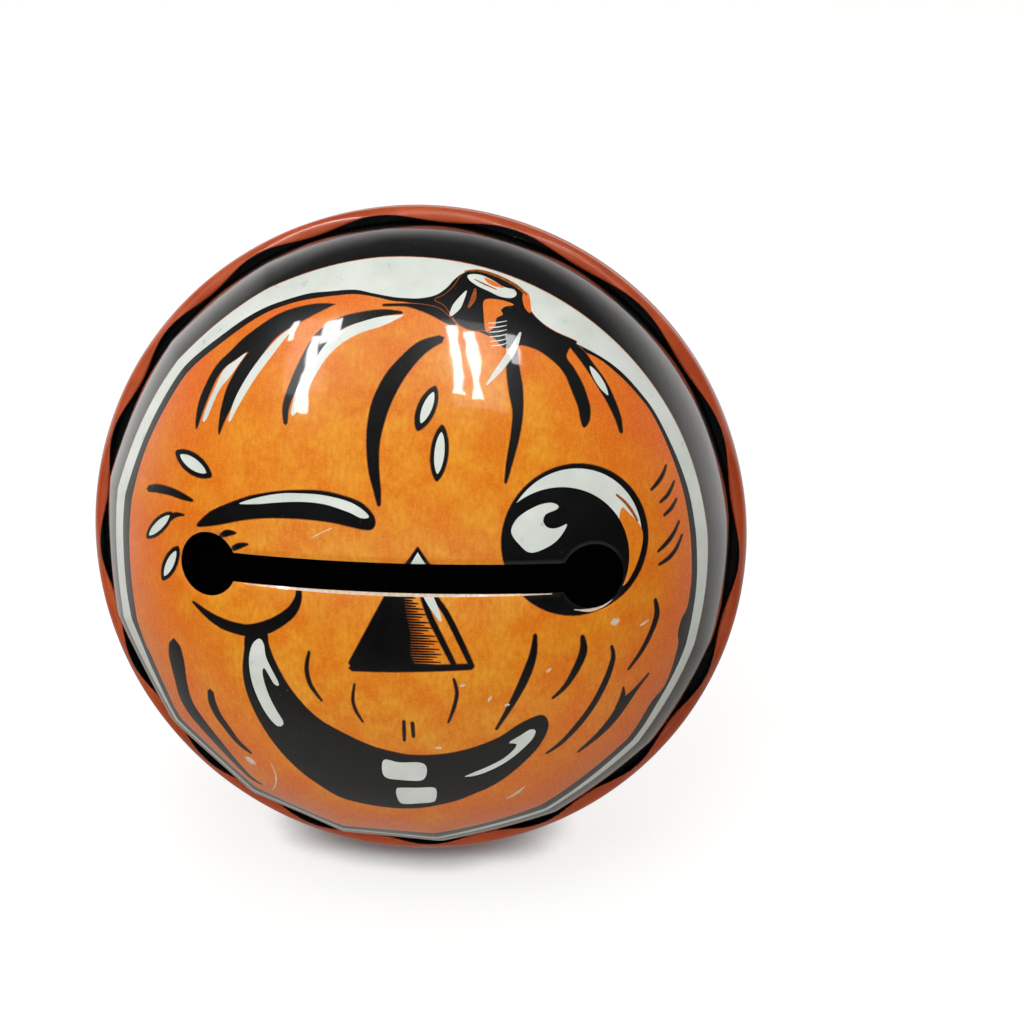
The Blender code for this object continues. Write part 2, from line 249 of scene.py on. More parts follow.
def start_material(name, **shader_values):
    """A Principled material with fixed values on the shader's own sockets."""
    material = bpy.data.materials.new(name)
    material.use_nodes = True
    print("starting the finish:", name)
    shader = material.node_tree.nodes["Principled BSDF"]
    for label, value in shader_values.items():
        shader.inputs[label.replace("_", " ")].default_value = value
    return material, material.node_tree, shader


def bell_coordinates(tree):
    """Object coordinates turned onto the bell's axes, in millimetres."""
    where = tree.nodes.new("ShaderNodeTexCoord").outputs["Object"]
    mapping = step(tree, "ShaderNodeMapping", {"Vector": where}, vector_type="TEXTURE")
    mapping.inputs["Location"].default_value = bell_centre
    mapping.inputs["Rotation"].default_value = bell_turn.to_euler()
    mapping.inputs["Scale"].default_value = (MM, MM, MM)
    return mapping.outputs[0]


def noise(tree, where, size, stretch=(1, 1, 1), detail=4.0, roughness=0.55):
    """Noise with blotches about `size` mm across, drawn out by stretch."""
    drawn = step(tree, "ShaderNodeMapping", {"Vector": where})
    drawn.inputs["Scale"].default_value = [1 / (size * factor) for factor in stretch]
    grain = step(tree, "ShaderNodeTexNoise",
                 {"Vector": drawn.outputs[0], "Scale": 1.0, "Detail": detail, "Roughness": roughness})
    return grain.outputs["Fac"]


def ramp(tree, value, low, high, start=0.0, end=1.0):
    """Maps value from low..high onto start..end, and clamps it."""
    node = step(tree, "ShaderNodeMapRange",
                {"Value": value, "From Min": low, "From Max": high, "To Min": start, "To Max": end})
    return node.outputs[0]


def blend_colour(tree, share, first, second):
    """Mixes two colours or colour sockets by share."""
    node = tree.nodes.new("ShaderNodeMix")
    node.data_type = "RGBA"
    for socket, value in ((node.inputs[0], share), (node.inputs[6], first), (node.inputs[7], second)):
        if isinstance(value, bpy.types.NodeSocket):
            tree.links.new(value, socket)
        else:
            socket.default_value = value
    return node.outputs[2]


def raise_surface(tree, shader, height, distance, sockets=("Normal",)):
    """Bumps the shader by a height pattern, distance in metres."""
    bump = step(tree, "ShaderNodeBump", {"Height": height, "Distance": distance, "Strength": 1.0})
    for name in sockets:
        tree.links.new(bump.outputs[0], shader.inputs[name])


# %% Orange enamel for the back shell
def make_enamel():
    material, tree, shader = start_material(
        "orange enamel", Coat_Weight=0.6, Coat_Roughness=0.12, Coat_IOR=1.45, IOR=1.45)
    where = bell_coordinates(tree)
    clouds = noise(tree, where, 9.0, detail=5.0)
    streaks = noise(tree, where, 2.0, (1, 1, 6))
    colour = blend_colour(tree, ramp(tree, clouds, 0.35, 0.65), linear(172, 64, 20), linear(190, 78, 26))
    colour = blend_colour(tree, ramp(tree, streaks, 0.45, 0.75, 0, 0.35), colour, linear(158, 48, 12))
    specks = noise(tree, where, 0.5, detail=1.0)
    colour = blend_colour(tree, ramp(tree, specks, 0.74, 0.78, 0, 0.6), colour, linear(120, 60, 36))
    tree.links.new(colour, shader.inputs["Base Color"])
    tree.links.new(ramp(tree, clouds, 0.3, 0.7, 0.28, 0.42), shader.inputs["Roughness"])
    raise_surface(tree, shader, noise(tree, where, 5.0, detail=3.0), 0.00006, ("Normal", "Coat Normal"))
    return material


enamel = make_enamel()

# %% Bare tin for the insides and cut edges
def make_tin(name, dark, light, rough):
    material, tree, shader = start_material(name, Metallic=1.0)
    where = bell_coordinates(tree)
    streaks = noise(tree, where, 3.0, (1, 5, 1), detail=5.0)
    colour = blend_colour(tree, ramp(tree, streaks, 0.35, 0.65), dark, light)
    rust = noise(tree, where, 1.6, detail=3.0)
    colour = blend_colour(tree, ramp(tree, rust, 0.66, 0.74, 0, 0.5), colour, linear(110, 66, 36))
    tree.links.new(colour, shader.inputs["Base Color"])
    tree.links.new(ramp(tree, streaks, 0.3, 0.7, rough, rough + 0.15), shader.inputs["Roughness"])
    return material


dark_tin = make_tin("dull tin inside", linear(70, 68, 64), linear(112, 108, 102), 0.42)
cut_tin = make_tin("cut tin edge", linear(176, 172, 166), linear(214, 212, 208), 0.3)

# %% Turned wood for the handle
def make_wood():
    material, tree, shader = start_material(
        "lacquered turned wood", Coat_Weight=0.45, Coat_Roughness=0.16, IOR=1.48)
    where = bell_coordinates(tree)
    rings = step(tree, "ShaderNodeTexWave",
                 {"Scale": 0.16, "Distortion": 5.0, "Detail": 4.0, "Detail Scale": 0.6},
                 wave_type="BANDS", bands_direction="X")
    drawn = step(tree, "ShaderNodeMapping", {"Vector": where})
    drawn.inputs["Scale"].default_value = (1, 1, 0.08)
    tree.links.new(drawn.outputs[0], rings.inputs["Vector"])
    pores = noise(tree, where, 0.35, (1, 1, 22), detail=3.0)
    fibres = noise(tree, where, 0.9, (1, 1, 30), detail=6.0)
    colour = blend_colour(tree, rings.outputs["Fac"], linear(206, 152, 92), linear(176, 116, 62))
    colour = blend_colour(tree, ramp(tree, fibres, 0.35, 0.7, 0, 0.55), colour, linear(222, 176, 116))
    colour = blend_colour(tree, ramp(tree, pores, 0.62, 0.7, 0, 0.7), colour, linear(104, 62, 30))
    height = step(tree, "ShaderNodeSeparateXYZ", {"Vector": where}).outputs["Z"]
    handled = blend_colour(tree, ramp(tree, height, -88, -60, 0, 0.22), linear(122, 84, 50), colour)
    tree.links.new(blend_colour(tree, 0.75, handled, colour), shader.inputs["Base Color"])
    tree.links.new(ramp(tree, fibres, 0.3, 0.7, 0.34, 0.5), shader.inputs["Roughness"])
    raise_surface(tree, shader, pores, 0.00003)
    return material


wood = make_wood()

# %% Plain steel for the nail, washer and pellets
def make_steel(name, dark, light, rough):
    material, tree, shader = start_material(name, Metallic=1.0)
    where = bell_coordinates(tree)
    scratches = noise(tree, where, 0.5, (1, 9, 1), detail=4.0)
    clouds = noise(tree, where, 2.5, detail=4.0)
    colour = blend_colour(tree, ramp(tree, clouds, 0.35, 0.65), dark, light)
    colour = blend_colour(tree, ramp(tree, clouds, 0.62, 0.72, 0, 0.45), colour, linear(116, 78, 50))
    tree.links.new(colour, shader.inputs["Base Color"])
    tree.links.new(ramp(tree, scratches, 0.3, 0.7, rough, rough + 0.18), shader.inputs["Roughness"])
    raise_surface(tree, shader, scratches, 0.00002)
    return material


nail_steel = make_steel("plain steel", linear(150, 148, 144), linear(186, 184, 180), 0.24)
pellet_steel = make_steel("rolled steel", linear(120, 118, 116), linear(168, 166, 164), 0.2)

# %% [markdown]
# ## The back shell
# The back of the bell is a pressed bowl of tin. Its edge has a rolled groove that holds the front
# shell's flange, and the lip over it was crimped in sixteen uneven waves, so dark crescents show
# where a wave stands away from the front. Displacing a sphere would never give that edge, so the
# bowl is a drawn profile on the turning tree, and the tree waves only the lip. A Solidify modifier
# then gives the sheet its thickness, with dull tin inside and a bright cut edge.

# %% Turn the back shell
SHEET = 0.3
RIM_RADIUS = 44.4
BACK_RISE = 26.0
SEAT_RADIUS = 9.0
BEAD_BOTTOM, BEAD_TOP, BEAD_DEPTH = 0.75, 2.35, 0.9
LIP_REACH, LIP_RISE = 1.45, 1.6
LIP_SWAY, LIP_LIFT, LIP_START = 0.5, 0.3, math.radians(115.5)
BACK_STEPS, HANDLE_STEPS, NAIL_STEPS, WASHER_STEPS = 384, 96, 48, 64


def back_profile():
    """Outside of the back shell from the lip's edge to the nail hole, with each point's wave share."""
    lip = bend((RIM_RADIUS - LIP_REACH, BEAD_TOP), LIP_REACH, 90, 0, 10, LIP_RISE)
    groove = []
    for count in range(1, 21):
        share = count / 20
        depth = BEAD_DEPTH * (1 - math.cos(2 * math.pi * share)) / 2
        groove.append((RIM_RADIUS - depth, BEAD_TOP - (BEAD_TOP - BEAD_BOTTOM) * share))
    seat_angle = math.degrees(math.asin(SEAT_RADIUS / RIM_RADIUS))
    bowl = bend((0, 0), RIM_RADIUS, 0, seat_angle - 90, 56, BACK_RISE)
    seat = [(SEAT_RADIUS - 1.2 * count, bowl[-1][1]) for count in range(1, 6)]
    points = lip + groove + bowl + seat + [(1.6, bowl[-1][1])]
    curl = [(1 - math.cos(math.radians(90 - 9 * count))) ** 2 for count in range(len(lip))]
    return points, curl + [0.0] * (len(points) - len(lip))


def thicken(piece, *materials):
    """Gives a sheet its thickness on the inside: outside, inside and cut-edge finishes."""
    piece.data.materials.clear()
    for material in materials:
        piece.data.materials.append(material)
    wall = piece.modifiers.new("Sheet", "SOLIDIFY")
    wall.thickness = SHEET * MM
    wall.offset = -1
    wall.use_even_offset = True
    wall.material_offset = 1
    wall.material_offset_rim = 2


profile, waves = back_profile()
back_shell = turn_piece(
    "pressed_back_shell", profile, BACK_STEPS, enamel, waves, LIP_SWAY, LIP_LIFT, LIP_START)
thicken(back_shell, enamel, dark_tin, cut_tin)

# %% [markdown]
# ## The handle, nail and washer
# The handle is a plain lathe-turned grip: a collar against the shell, a neck, a belly for the palm
# and a rounded butt. Its faint tool rings are part of the profile, because real turning leaves
# them. The nail goes through a washer inside the bell and into the handle's bore. All three are
# profiles on the same turning tree.

# %% Turn the handle
HANDLE_FRONT = -25.763
HANDLE_LENGTH = 92.0
BORE_RADIUS, BORE_DEPTH = 1.6, 22.3


def handle_profile():
    """The handle from the bottom of its bore, round the collar and the grip, to the butt."""
    stations = ((6.6, -4.0), (5.8, -14.0), (9.5, -62.0), (7.8, -89.4))
    points = [(0, -BORE_DEPTH), (BORE_RADIUS, -BORE_DEPTH), (BORE_RADIUS, 0)]
    points += bend((7.2, -0.8), 0.8, 90, 0, 6) + bend((7.2, -3.2), 0.8, 0, -90, 6)[:-1]
    for (near, top), (far, bottom) in zip(stations, stations[1:]):
        count = round((top - bottom) / 0.5)
        for number in range(count):
            share = number / count
            ring = 0.012 * math.sin(9.0 * (top + (bottom - top) * share))
            points.append((near + (far - near) * ease(share) - 0.03 + ring, top + (bottom - top) * share))
    points += bend((5.2, -89.4), 2.6, 0, -90, 8) + [(3, -HANDLE_LENGTH), (0, -HANDLE_LENGTH)]
    return [(radius * 0.992, HANDLE_FRONT + 0.02 + height * 0.9995) for radius, height in points]


handle = turn_piece("turned_handle", handle_profile(), HANDLE_STEPS, wood)

# %% Turn the nail and the washer
WASHER_BOTTOM = -24.863
HEAD_BOTTOM = -23.763
nail_head = bend((0, 0.65), 3.5, 90, 0, 10, 0.6) + [(3.5, 0.1), (3.4, 0)]
nail_shank = [(1.3, 0), (1.3, -10.0), (1.27, -10.2), (1.3, -10.4), (1.3, -21), (0.1, -23.9), (0, -24)]
nail_profile = [(radius, HEAD_BOTTOM + height) for radius, height in nail_head + nail_shank]
nail = turn_piece("nail", nail_profile, NAIL_STEPS, nail_steel)
washer_profile = [(1.65, WASHER_BOTTOM), (1.65, WASHER_BOTTOM + 0.75), (1.8, WASHER_BOTTOM + 0.8),
                  (6.6, WASHER_BOTTOM + 0.8), (6.9, WASHER_BOTTOM + 0.65), (6.9, WASHER_BOTTOM + 0.15),
                  (6.75, WASHER_BOTTOM), (1.65, WASHER_BOTTOM)]
washer = turn_piece("washer", washer_profile, WASHER_STEPS, nail_steel)

# %% [markdown]
# ## The pellets
# The rattle is three loose balls. Cheap rolled pellets aren't true spheres: they have small flats
# and dents. A UV sphere pinches at its poles, so each pellet starts as an icosphere, whose
# triangles are all alike, and a sum of sines presses shallow dents inward, so that no pellet
# grows past the size that its joint leaves room for.

# %% Roll the pellets
PELLET_RADIUS = 4.55
DENT_DEPTH, DENT_WAVES = 0.09, 3.1


def roll_pellet(name, node, phase):
    """A dented ball in the place of one CAD pellet."""
    low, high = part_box(node)
    shape = bmesh.new()
    bmesh.ops.create_icosphere(shape, subdivisions=5, radius=1)
    for vertex in shape.verts:
        spot = vertex.co * DENT_WAVES + Vector((phase, phase * 1.7, phase * 2.3))
        dent = 0.5 + math.sin(spot.x + math.sin(spot.y)) * math.sin(spot.y + math.cos(spot.z)) / 2
        vertex.co *= (PELLET_RADIUS - DENT_DEPTH * dent) * MM
        vertex.co += (low + high) / 2
    mesh = bpy.data.meshes.new(name)
    shape.to_mesh(mesh)
    shape.free()
    mesh.shade_smooth()
    mesh.materials.append(pellet_steel)
    pellet = bpy.data.objects.new(name, mesh)
    bpy.context.scene.collection.objects.link(pellet)
    print(name, "has", len(mesh.polygons), "faces")
    return pellet


pellets = [roll_pellet("front_pellet", "pellet_1", 0.4), roll_pellet("middle_pellet", "pellet_2", 1.9),
           roll_pellet("back_pellet", "pellet_3", 3.6)]

# %% [markdown]
# ## The front shell's shape
# The face was printed on flat sheet and then pressed into a dome, so the drawing is made flat
# here too and pressed afterwards. A point of the flat sheet keeps its angle, and its distance from
# the middle becomes a distance walked along the dome's section: over the ellipse, down the short
# skirt, round the fillet and out along the hidden flange. The crimping tool also pinched the
# skirt of the real bell into shallow flats round its lower side, and the slot's edges roll inward.

# %% Walk along the front shell's section
DOME_RADIUS, DOME_RISE, DOME_FOOT = 42.15, 25.32, 3.8
FLANGE_TOP, FILLET = 2.55, 0.4
DOME_STEPS = 600


def walk_section():
    """(distance walked, radius, height) for finely spaced points from the pole to the flange."""
    points = [(x, y) for y, x in bend((DOME_FOOT, 0), DOME_RISE, 0, 90, DOME_STEPS, DOME_RADIUS)]
    points += [(DOME_RADIUS, DOME_FOOT - 0.1 * count) for count in range(1, 9)]
    points += bend((DOME_RADIUS + FILLET, FLANGE_TOP + FILLET), FILLET, 180, 270, 8)
    points += [(DOME_RADIUS + FILLET + 0.1 * count, FLANGE_TOP) for count in range(1, 12)]
    walked = [(0.0, *points[0])]
    for before, after in zip(points, points[1:]):
        walked.append((walked[-1][0] + math.dist(before, after), *after))
    return walked


section = walk_section()
SHEET_RADIUS = section[-1][0]
CHART_SPAN = 2 * (SHEET_RADIUS + 0.5)
foot_distance = next(distance for distance, radius, height in section if height <= DOME_FOOT + 0.001)
print("the flat sheet was", round(2 * SHEET_RADIUS, 1), "mm across")
print("the dome's foot is", round(foot_distance, 2), "mm from the pole")

# %% Press a point of the flat sheet
distances = [distance for distance, radius, height in section]
SLOT_REACH, SLOT_HALF, HOLE_RADIUS = 24.95, 1.87, 4.2
ROLL_WIDTH, ROLL_DEPTH = 0.9, 0.3
PINCH_DEPTH, PINCH_START, PINCH_FULL = 0.6, 34, 46


def section_at(distance):
    """Radius and height of the section a distance from the pole."""
    index = min(max(bisect_right(distances, distance), 1), len(section) - 1)
    (start, radius, height), (end, next_radius, next_height) = section[index - 1], section[index]
    share = (distance - start) / (end - start) if end > start else 0
    return radius + (next_radius - radius) * share, height + (next_height - height) * share


def from_slot(x, y):
    """Distance from the slot's edge, negative inside it."""
    across = max(abs(y) - SLOT_HALF, abs(x) - SLOT_REACH)
    return min(across, math.hypot(abs(x) - SLOT_REACH, y) - HOLE_RADIUS)


def pinch(angle):
    """How far the skirt is pinched in at an angle: nothing at a ridge, most between two."""
    off = (math.degrees(angle) + 152 + 180) % 360 - 180
    drift = 9.5 * max(0.0, math.cos(math.radians(1.34 * off)))
    share = ((math.degrees(angle) - drift + 84) / 22.5) % 1
    strength = 0.5 + 0.5 * math.cos(angle + math.radians(125))
    return PINCH_DEPTH * strength * 4 * share * (1 - share)


def press(x, y):
    """Where a point of the flat sheet lands on the pressed shell, in mm on the bell's axes."""
    distance, angle = math.hypot(x, y), math.atan2(y, x)
    radius, height = section_at(distance)
    radius -= pinch(angle) * ease((distance - PINCH_START) / (PINCH_FULL - PINCH_START))
    height -= ROLL_DEPTH * max(0.0, 1 - max(from_slot(x, y), 0) / ROLL_WIDTH) ** 2
    return Vector((radius * math.cos(angle), radius * math.sin(angle), height))


def facing(x, y, nudge=0.04):
    """The way the pressed sheet faces at a point, from two tiny steps on the flat sheet."""
    across = press(x + nudge, y) - press(x - nudge, y)
    along = press(x, y + nudge) - press(x, y - nudge)
    return across.cross(along).normalized()


print("the pole stands", round(press(0, 5).z, 2), "mm ahead of the rim")

# %% [markdown]
# ## Drawing tools
# The artwork is brush-and-ink work: tapering strokes, blobs with white highlights, a few true
# circles. An image texture is out, and a shader maze would be hard to read, so the drawing is cut
# into the mesh. Each mark is a closed outline on the flat sheet. A brush mark is a smooth line
# through a few points with a width at each, and a blob is a smooth loop through its points.

# %% Brushes, blobs and circles
def smooth_line(points, closed, spacing=0.45):
    """A Catmull-Rom curve through points of any size of tuple, finely sampled."""
    count = len(points)
    last = count if closed else count - 1
    line = []
    for number in range(last):
        if closed:
            stretch = [points[(number + offset) % count] for offset in (-1, 0, 1, 2)]
        else:
            stretch = [points[min(max(number + offset, 0), count - 1)] for offset in (-1, 0, 1, 2)]
        before, start, end, after = stretch
        pieces = max(2, math.ceil(math.dist(start[:2], end[:2]) / spacing))
        for piece in range(pieces):
            t = piece / pieces
            line.append(tuple(
                0.5 * (2 * b + (c - a) * t + (2 * a - 5 * b + 4 * c - d) * t * t
                       + (3 * b - a - 3 * c + d) * t ** 3)
                for a, b, c, d in zip(before, start, end, after)))
    if not closed:
        line.append(tuple(points[-1]))
    return line


FINEST_LINE = 0.08


def brush(*points):
    """Outline of a brush mark through (x, y, width) points, with rounded ends."""
    line = smooth_line(points, False)
    left, right = [], []
    for number, (x, y, width) in enumerate(line):
        ahead, behind = line[min(number + 1, len(line) - 1)], line[max(number - 1, 0)]
        length = math.dist(ahead[:2], behind[:2]) or 1
        dx, dy = (ahead[0] - behind[0]) / length, (ahead[1] - behind[1]) / length
        half = max(width, FINEST_LINE) / 2
        left.append((x - dy * half, y + dx * half))
        right.append((x + dy * half, y - dx * half))
        if number in (0, len(line) - 1):
            way = 1 if number else -1
            tip = (x + way * dx * half, y + way * dy * half)
    first = line[0]
    heading = math.atan2(line[1][1] - first[1], line[1][0] - first[0])
    half = max(first[2], FINEST_LINE) / 2
    back = (first[0] - math.cos(heading) * half, first[1] - math.sin(heading) * half)
    return left + [tip] + right[::-1] + [back]


def blob(*points):
    """Outline of a smooth closed shape through (x, y) points."""
    return smooth_line(points, True)


def circle(x, y, radius, start=0, end=360):
    """Outline of a circle, or of a stretch of it."""
    steps = max(12, math.ceil(math.radians(end - start) * radius / 0.45))
    return [(x + radius * math.cos(math.radians(start + (end - start) * count / steps)),
             y + radius * math.sin(math.radians(start + (end - start) * count / steps)))
            for count in range(steps if end - start == 360 else steps + 1)]


def leaf(x, y, length, width, slant):
    """Outline of a pointed oval, slanted by degrees."""
    lean = math.radians(slant)
    outline = []
    for count in range(28):
        angle = 2 * math.pi * count / 28
        along = length / 2 * math.cos(angle)
        out = width / 2 * math.sin(angle) * abs(math.sin(angle)) ** 0.4
        outline.append((x + along * math.cos(lean) - out * math.sin(lean),
                        y + along * math.sin(lean) + out * math.cos(lean)))
    return outline


def around(*points):
    """Smooth loop through (angle in degrees, distance) points, for shapes that ring the middle."""
    return blob(*[(reach * math.cos(math.radians(angle)), reach * math.sin(math.radians(angle)))
                  for angle, reach in points])


# %% [markdown]
# ## The printed face
# The press put down white first, then orange, then the black drawing, with a trace of brown where
# orange and black overlap. The list below is in painting order, so a later mark covers an earlier
# one. Sizes are in millimetres on the flat sheet, with the slot along the X axis.

# %% The ground: black edge, white ring, pumpkin
marks = []
bleeds = []


def grown(outline, amount):
    """An anticlockwise outline with every point moved outward by amount."""
    if turning(outline) < 0:
        outline = outline[::-1]
    moved = []
    for before, here, after in zip(outline[-1:] + outline[:-1], outline, outline[1:] + outline[:1]):
        length = math.dist(before, after) or 1
        moved.append((here[0] + (after[1] - before[1]) / length * amount,
                      here[1] - (after[0] - before[0]) / length * amount))
    return moved


def turning(outline):
    """Twice the area inside an outline, positive when it runs anticlockwise."""
    return sum(a[0] * b[1] - b[0] * a[1] for a, b in zip(outline, outline[1:] + outline[:1]))


def paint(ink, *outlines, fringe=0.1):
    """Adds marks over everything painted so far; black ink bleeds a thin brown fringe over the ground."""
    for outline in outlines:
        if ink == "black" and fringe:
            bleeds.append(("brown", grown(outline, fringe)))
        marks.append((ink, outline))


paint("black", circle(0, 0, SHEET_RADIUS), fringe=0)
paint("brown", circle(-0.3, -1.1, 43.95))
paint("white", circle(-0.3, -1.1, 43.8))
paint("black", around(
    (200, 41.5), (190, 41.6), (180, 41.4), (171, 41.4), (160, 41.1), (150, 41.1), (140, 41.2), (131, 40.5),
    (122, 40.1), (112, 39.2), (106, 38.3), (101, 37.7), (97, 36.7), (93, 36), (90, 35.8), (87, 35.9),
    (84, 36.6), (82, 38), (81, 39.4), (79.6, 40.8), (77.5, 41.6), (73, 41.6), (70, 41.2), (68, 40.4),
    (66.5, 39.2), (65, 38.1), (62, 37.4), (60, 37.2), (57, 37.4), (53, 38.2), (45, 39.6), (38, 40.2),
    (30, 40.5), (15, 40.9), (0, 41.2), (-10, 41.6), (-20, 42), (-30, 42.2), (-40, 42.6), (-60, 43.5),
    (-84, 44.1), (-104, 44.3), (-123, 44.1), (-142, 43.6), (-152, 42.5)), fringe=0)
paint("orange", around(
    (200, 40.3), (190, 39.7), (180, 39.5), (171, 39.5), (160, 39.7), (150, 39.7), (140, 39.9), (131, 39.3),
    (122, 39.1), (115, 38.6), (110, 38), (105, 37.4), (101, 37), (97, 36.2), (93, 35.4), (90, 35.2),
    (84, 34.6), (75, 33), (65, 33), (58, 35), (54, 37), (49, 38.4), (45, 39), (38, 39.6), (30, 39.9),
    (15, 39.9), (0, 40.1), (-8, 40.2), (-11, 39.5), (-14, 39.5), (-17, 40.3), (-25, 41.4), (-30, 40.7),
    (-40, 41.2), (-60, 41.7), (-80, 42.2), (-104, 42.8), (-123, 42.4), (-142, 42), (-150, 41), (-157, 40.2)))
ground_marks = len(marks)
print("marks in the ground:", ground_marks)

# %% [markdown]
# ## The pumpkin's ribs
# Ribs are fat brush strokes that taper to nothing, with a white highlight laid beside or inside
# them. A stroke of even width would look like wire, so each mark is drawn through a few points
# that carry their own widths.

# %% Ribs of the pumpkin, left side
paint("black", blob(
    (-9.7, 34.8), (-12, 34.9), (-15, 34.4), (-18, 33.2), (-22, 30.3), (-24, 28.2), (-26, 26), (-27.6, 22),
    (-27.9, 19), (-27.6, 17.5), (-26.9, 20), (-25.6, 24), (-24.5, 25.8), (-22.9, 27), (-21.1, 28.1),
    (-22, 26.5), (-23, 24.5), (-23.7, 22.5), (-24.1, 19.5), (-24, 16.9), (-23.2, 19), (-21.2, 23.3),
    (-19, 27.5), (-17, 30.3), (-13.5, 32.6), (-10, 34.6)))
paint("white",
      blob((-26.8, 18.6), (-26.4, 20.5), (-25.7, 22.5), (-24.5, 25.6), (-23, 26.8), (-21.4, 27.9),
           (-22.3, 26.3), (-23.2, 24.8), (-24.6, 23), (-25.3, 21.3), (-26.2, 18.8)),
      brush((-22.6, 18.8, 0.4), (-21.6, 21.6, 1.0), (-19.9, 24.9, 1.2), (-18, 27.8, 1.2),
            (-16.2, 30.2, 0.8), (-14.4, 31.9, 0.2)))
paint("white", brush((-0.3, 33.3, 0.2), (-3, 32.4, 1.3), (-6, 31.4, 1.5), (-8.5, 29.9, 1.6),
                     (-10.5, 27.7, 1.5), (-12, 25, 1.6), (-13, 22.5, 1.3), (-13.7, 20, 0.6)))
paint("black", brush((-0.5, 33.7, 0.3), (-3, 33.6, 0.9), (-6, 32.9, 1.4), (-8.5, 32, 1.6), (-10.8, 30, 2.0),
                     (-12.3, 27.3, 1.8), (-13.8, 24, 1.2), (-14.7, 21, 0.9), (-14.6, 18.8, 0.5)))
print("marks so far:", len(marks))

# %% Ribs of the pumpkin, middle
paint("black",
      brush((-3, 34.7, 0.3), (0, 34.8, 0.4), (2, 34.5, 0.9), (4, 33.9, 1.3), (5.5, 32.9, 1.0),
            (6.5, 32.3, 0.4)),
      brush((4.8, 30.2, 1.0), (2.5, 29, 1.7), (0.6, 27, 2.0), (-1, 24.7, 2.3), (-2.3, 21.7, 2.3),
            (-2.9, 19, 2.0), (-3.1, 16.5, 1.6), (-2.9, 13.5, 1.3), (-2.4, 11, 0.9), (-2.1, 9.1, 0.4)),
      brush((14.3, 29.5, 1.0), (14.2, 27, 1.6), (14.6, 24, 1.8), (14.9, 21, 1.3), (14.6, 18, 1.1),
            (14, 15, 0.8), (13.5, 12.2, 0.3)))
paint("black", leaf(3.4, 21.2, 6.0, 2.3, 70), leaf(5.2, 15.7, 7.0, 2.2, 86))
paint("white", leaf(3.5, 21.3, 4.2, 1.2, 70), leaf(5.2, 15.7, 5.2, 1.25, 86))
print("marks so far:", len(marks))

# %% [markdown]
# ## The stem
# The stem is one black blob that runs down into the right-hand ribs, opened up again with white
# and orange, as a printer's artist would scrape a drawing. Fine white hatching on its shaded side
# repeats at an even step, so a loop draws it.

# %% The stem and the ribs that run from it
paint("black",
      blob((3.8, 35.7), (5, 35), (6.2, 33.4), (7.2, 32.2), (9, 31.5), (10.5, 31.6), (11.8, 30.6),
           (13.2, 29.3), (15.2, 29.8), (16.5, 29.6), (18, 29), (20, 27.5), (21.2, 26), (22, 24), (22.8, 22),
           (23.2, 20), (23.6, 19.2), (24.3, 20), (24.5, 21.5), (24.2, 23), (23.5, 25), (22.4, 27),
           (21.4, 28.6), (22.3, 30.3), (23, 30.8), (20, 32), (18, 33.3), (16.6, 35), (16.2, 37), (14, 38.9),
           (11, 40.3), (8.5, 40.6), (7.2, 39.8), (6.2, 37.9), (5, 36.5)),
      brush((21.8, 30.8, 0.8), (23.4, 29.2, 1.3), (24.7, 27.4, 1.3), (26.2, 25.2, 1.5), (27.5, 22.8, 1.2),
            (28.4, 20.6, 0.9), (28.8, 18.7, 0.5)))
paint("white",
      leaf(25.9, 25.5, 4.6, 1.05, -58),
      blob((8, 39.8), (8.3, 39), (9.5, 38.1), (11, 37.4), (12.5, 36.7), (14, 36.6), (14.8, 37.2),
           (14.5, 38), (13.1, 38.3), (11.5, 39.3), (10, 40), (8.8, 40.1)),
      # This white streak is partly the stem's printed highlight and partly a painted highlight, a window's
      # reflection drawn into the white ink.
      brush((6.0, 33.6, 0.5), (6.7, 34.8, 1.1), (7.4, 36.2, 0.7), (7.9, 37.2, 0.2)),
      brush((15.2, 31.5, 0.3), (14.3, 29.3, 0.9), (13, 27.2, 0.9), (11.8, 25.6, 0.6), (10.9, 24.4, 0.2)))
paint("orange",
      blob((10.3, 39.6), (11.5, 39.2), (13.1, 38.2), (12.2, 38.2), (11, 38.6)),
      blob((10.4, 36), (12.5, 36.2), (14.4, 35.6), (13.2, 35.2), (12.6, 34.6), (12.9, 34), (12, 33.4),
           (11.9, 32.4), (10.7, 31.4), (10.3, 34)),
      blob((15.9, 35.2), (16.7, 34.6), (16.6, 37.2), (16, 37.9), (15.6, 36.9)))
paint("brown",
      brush((7.6, 40.5, 0.2), (9.6, 40.8, 0.4), (12.4, 40, 0.5), (14.8, 38.7, 0.5), (16.2, 37.4, 0.3)),
      brush((8.3, 34.8, 0.3), (8.9, 36.2, 0.7), (9.1, 37.6, 0.3)),
      brush((9, 39.2, 0.15), (10.4, 38.5, 0.25), (12, 37.8, 0.15)))
paint("white", *[brush((10.9 + 0.1 * n, 32.6 - 0.62 * n, 0.1), (12.2 + 0.1 * n, 32.8 - 0.62 * n, 0.16),
                       (13.4, 33.1 - 0.62 * n, 0.08)) for n in range(6)])
print("marks so far:", len(marks))

# %% [markdown]
# ## The eyes
# The closed eye is a heavy brow over a cheek arc, with three seeds and a few creases beside it.
# The open eye is a set of true circles, because it was drawn with a compass: a black ring, a white
# ball, a black pupil kept inside the ring and a white glint.

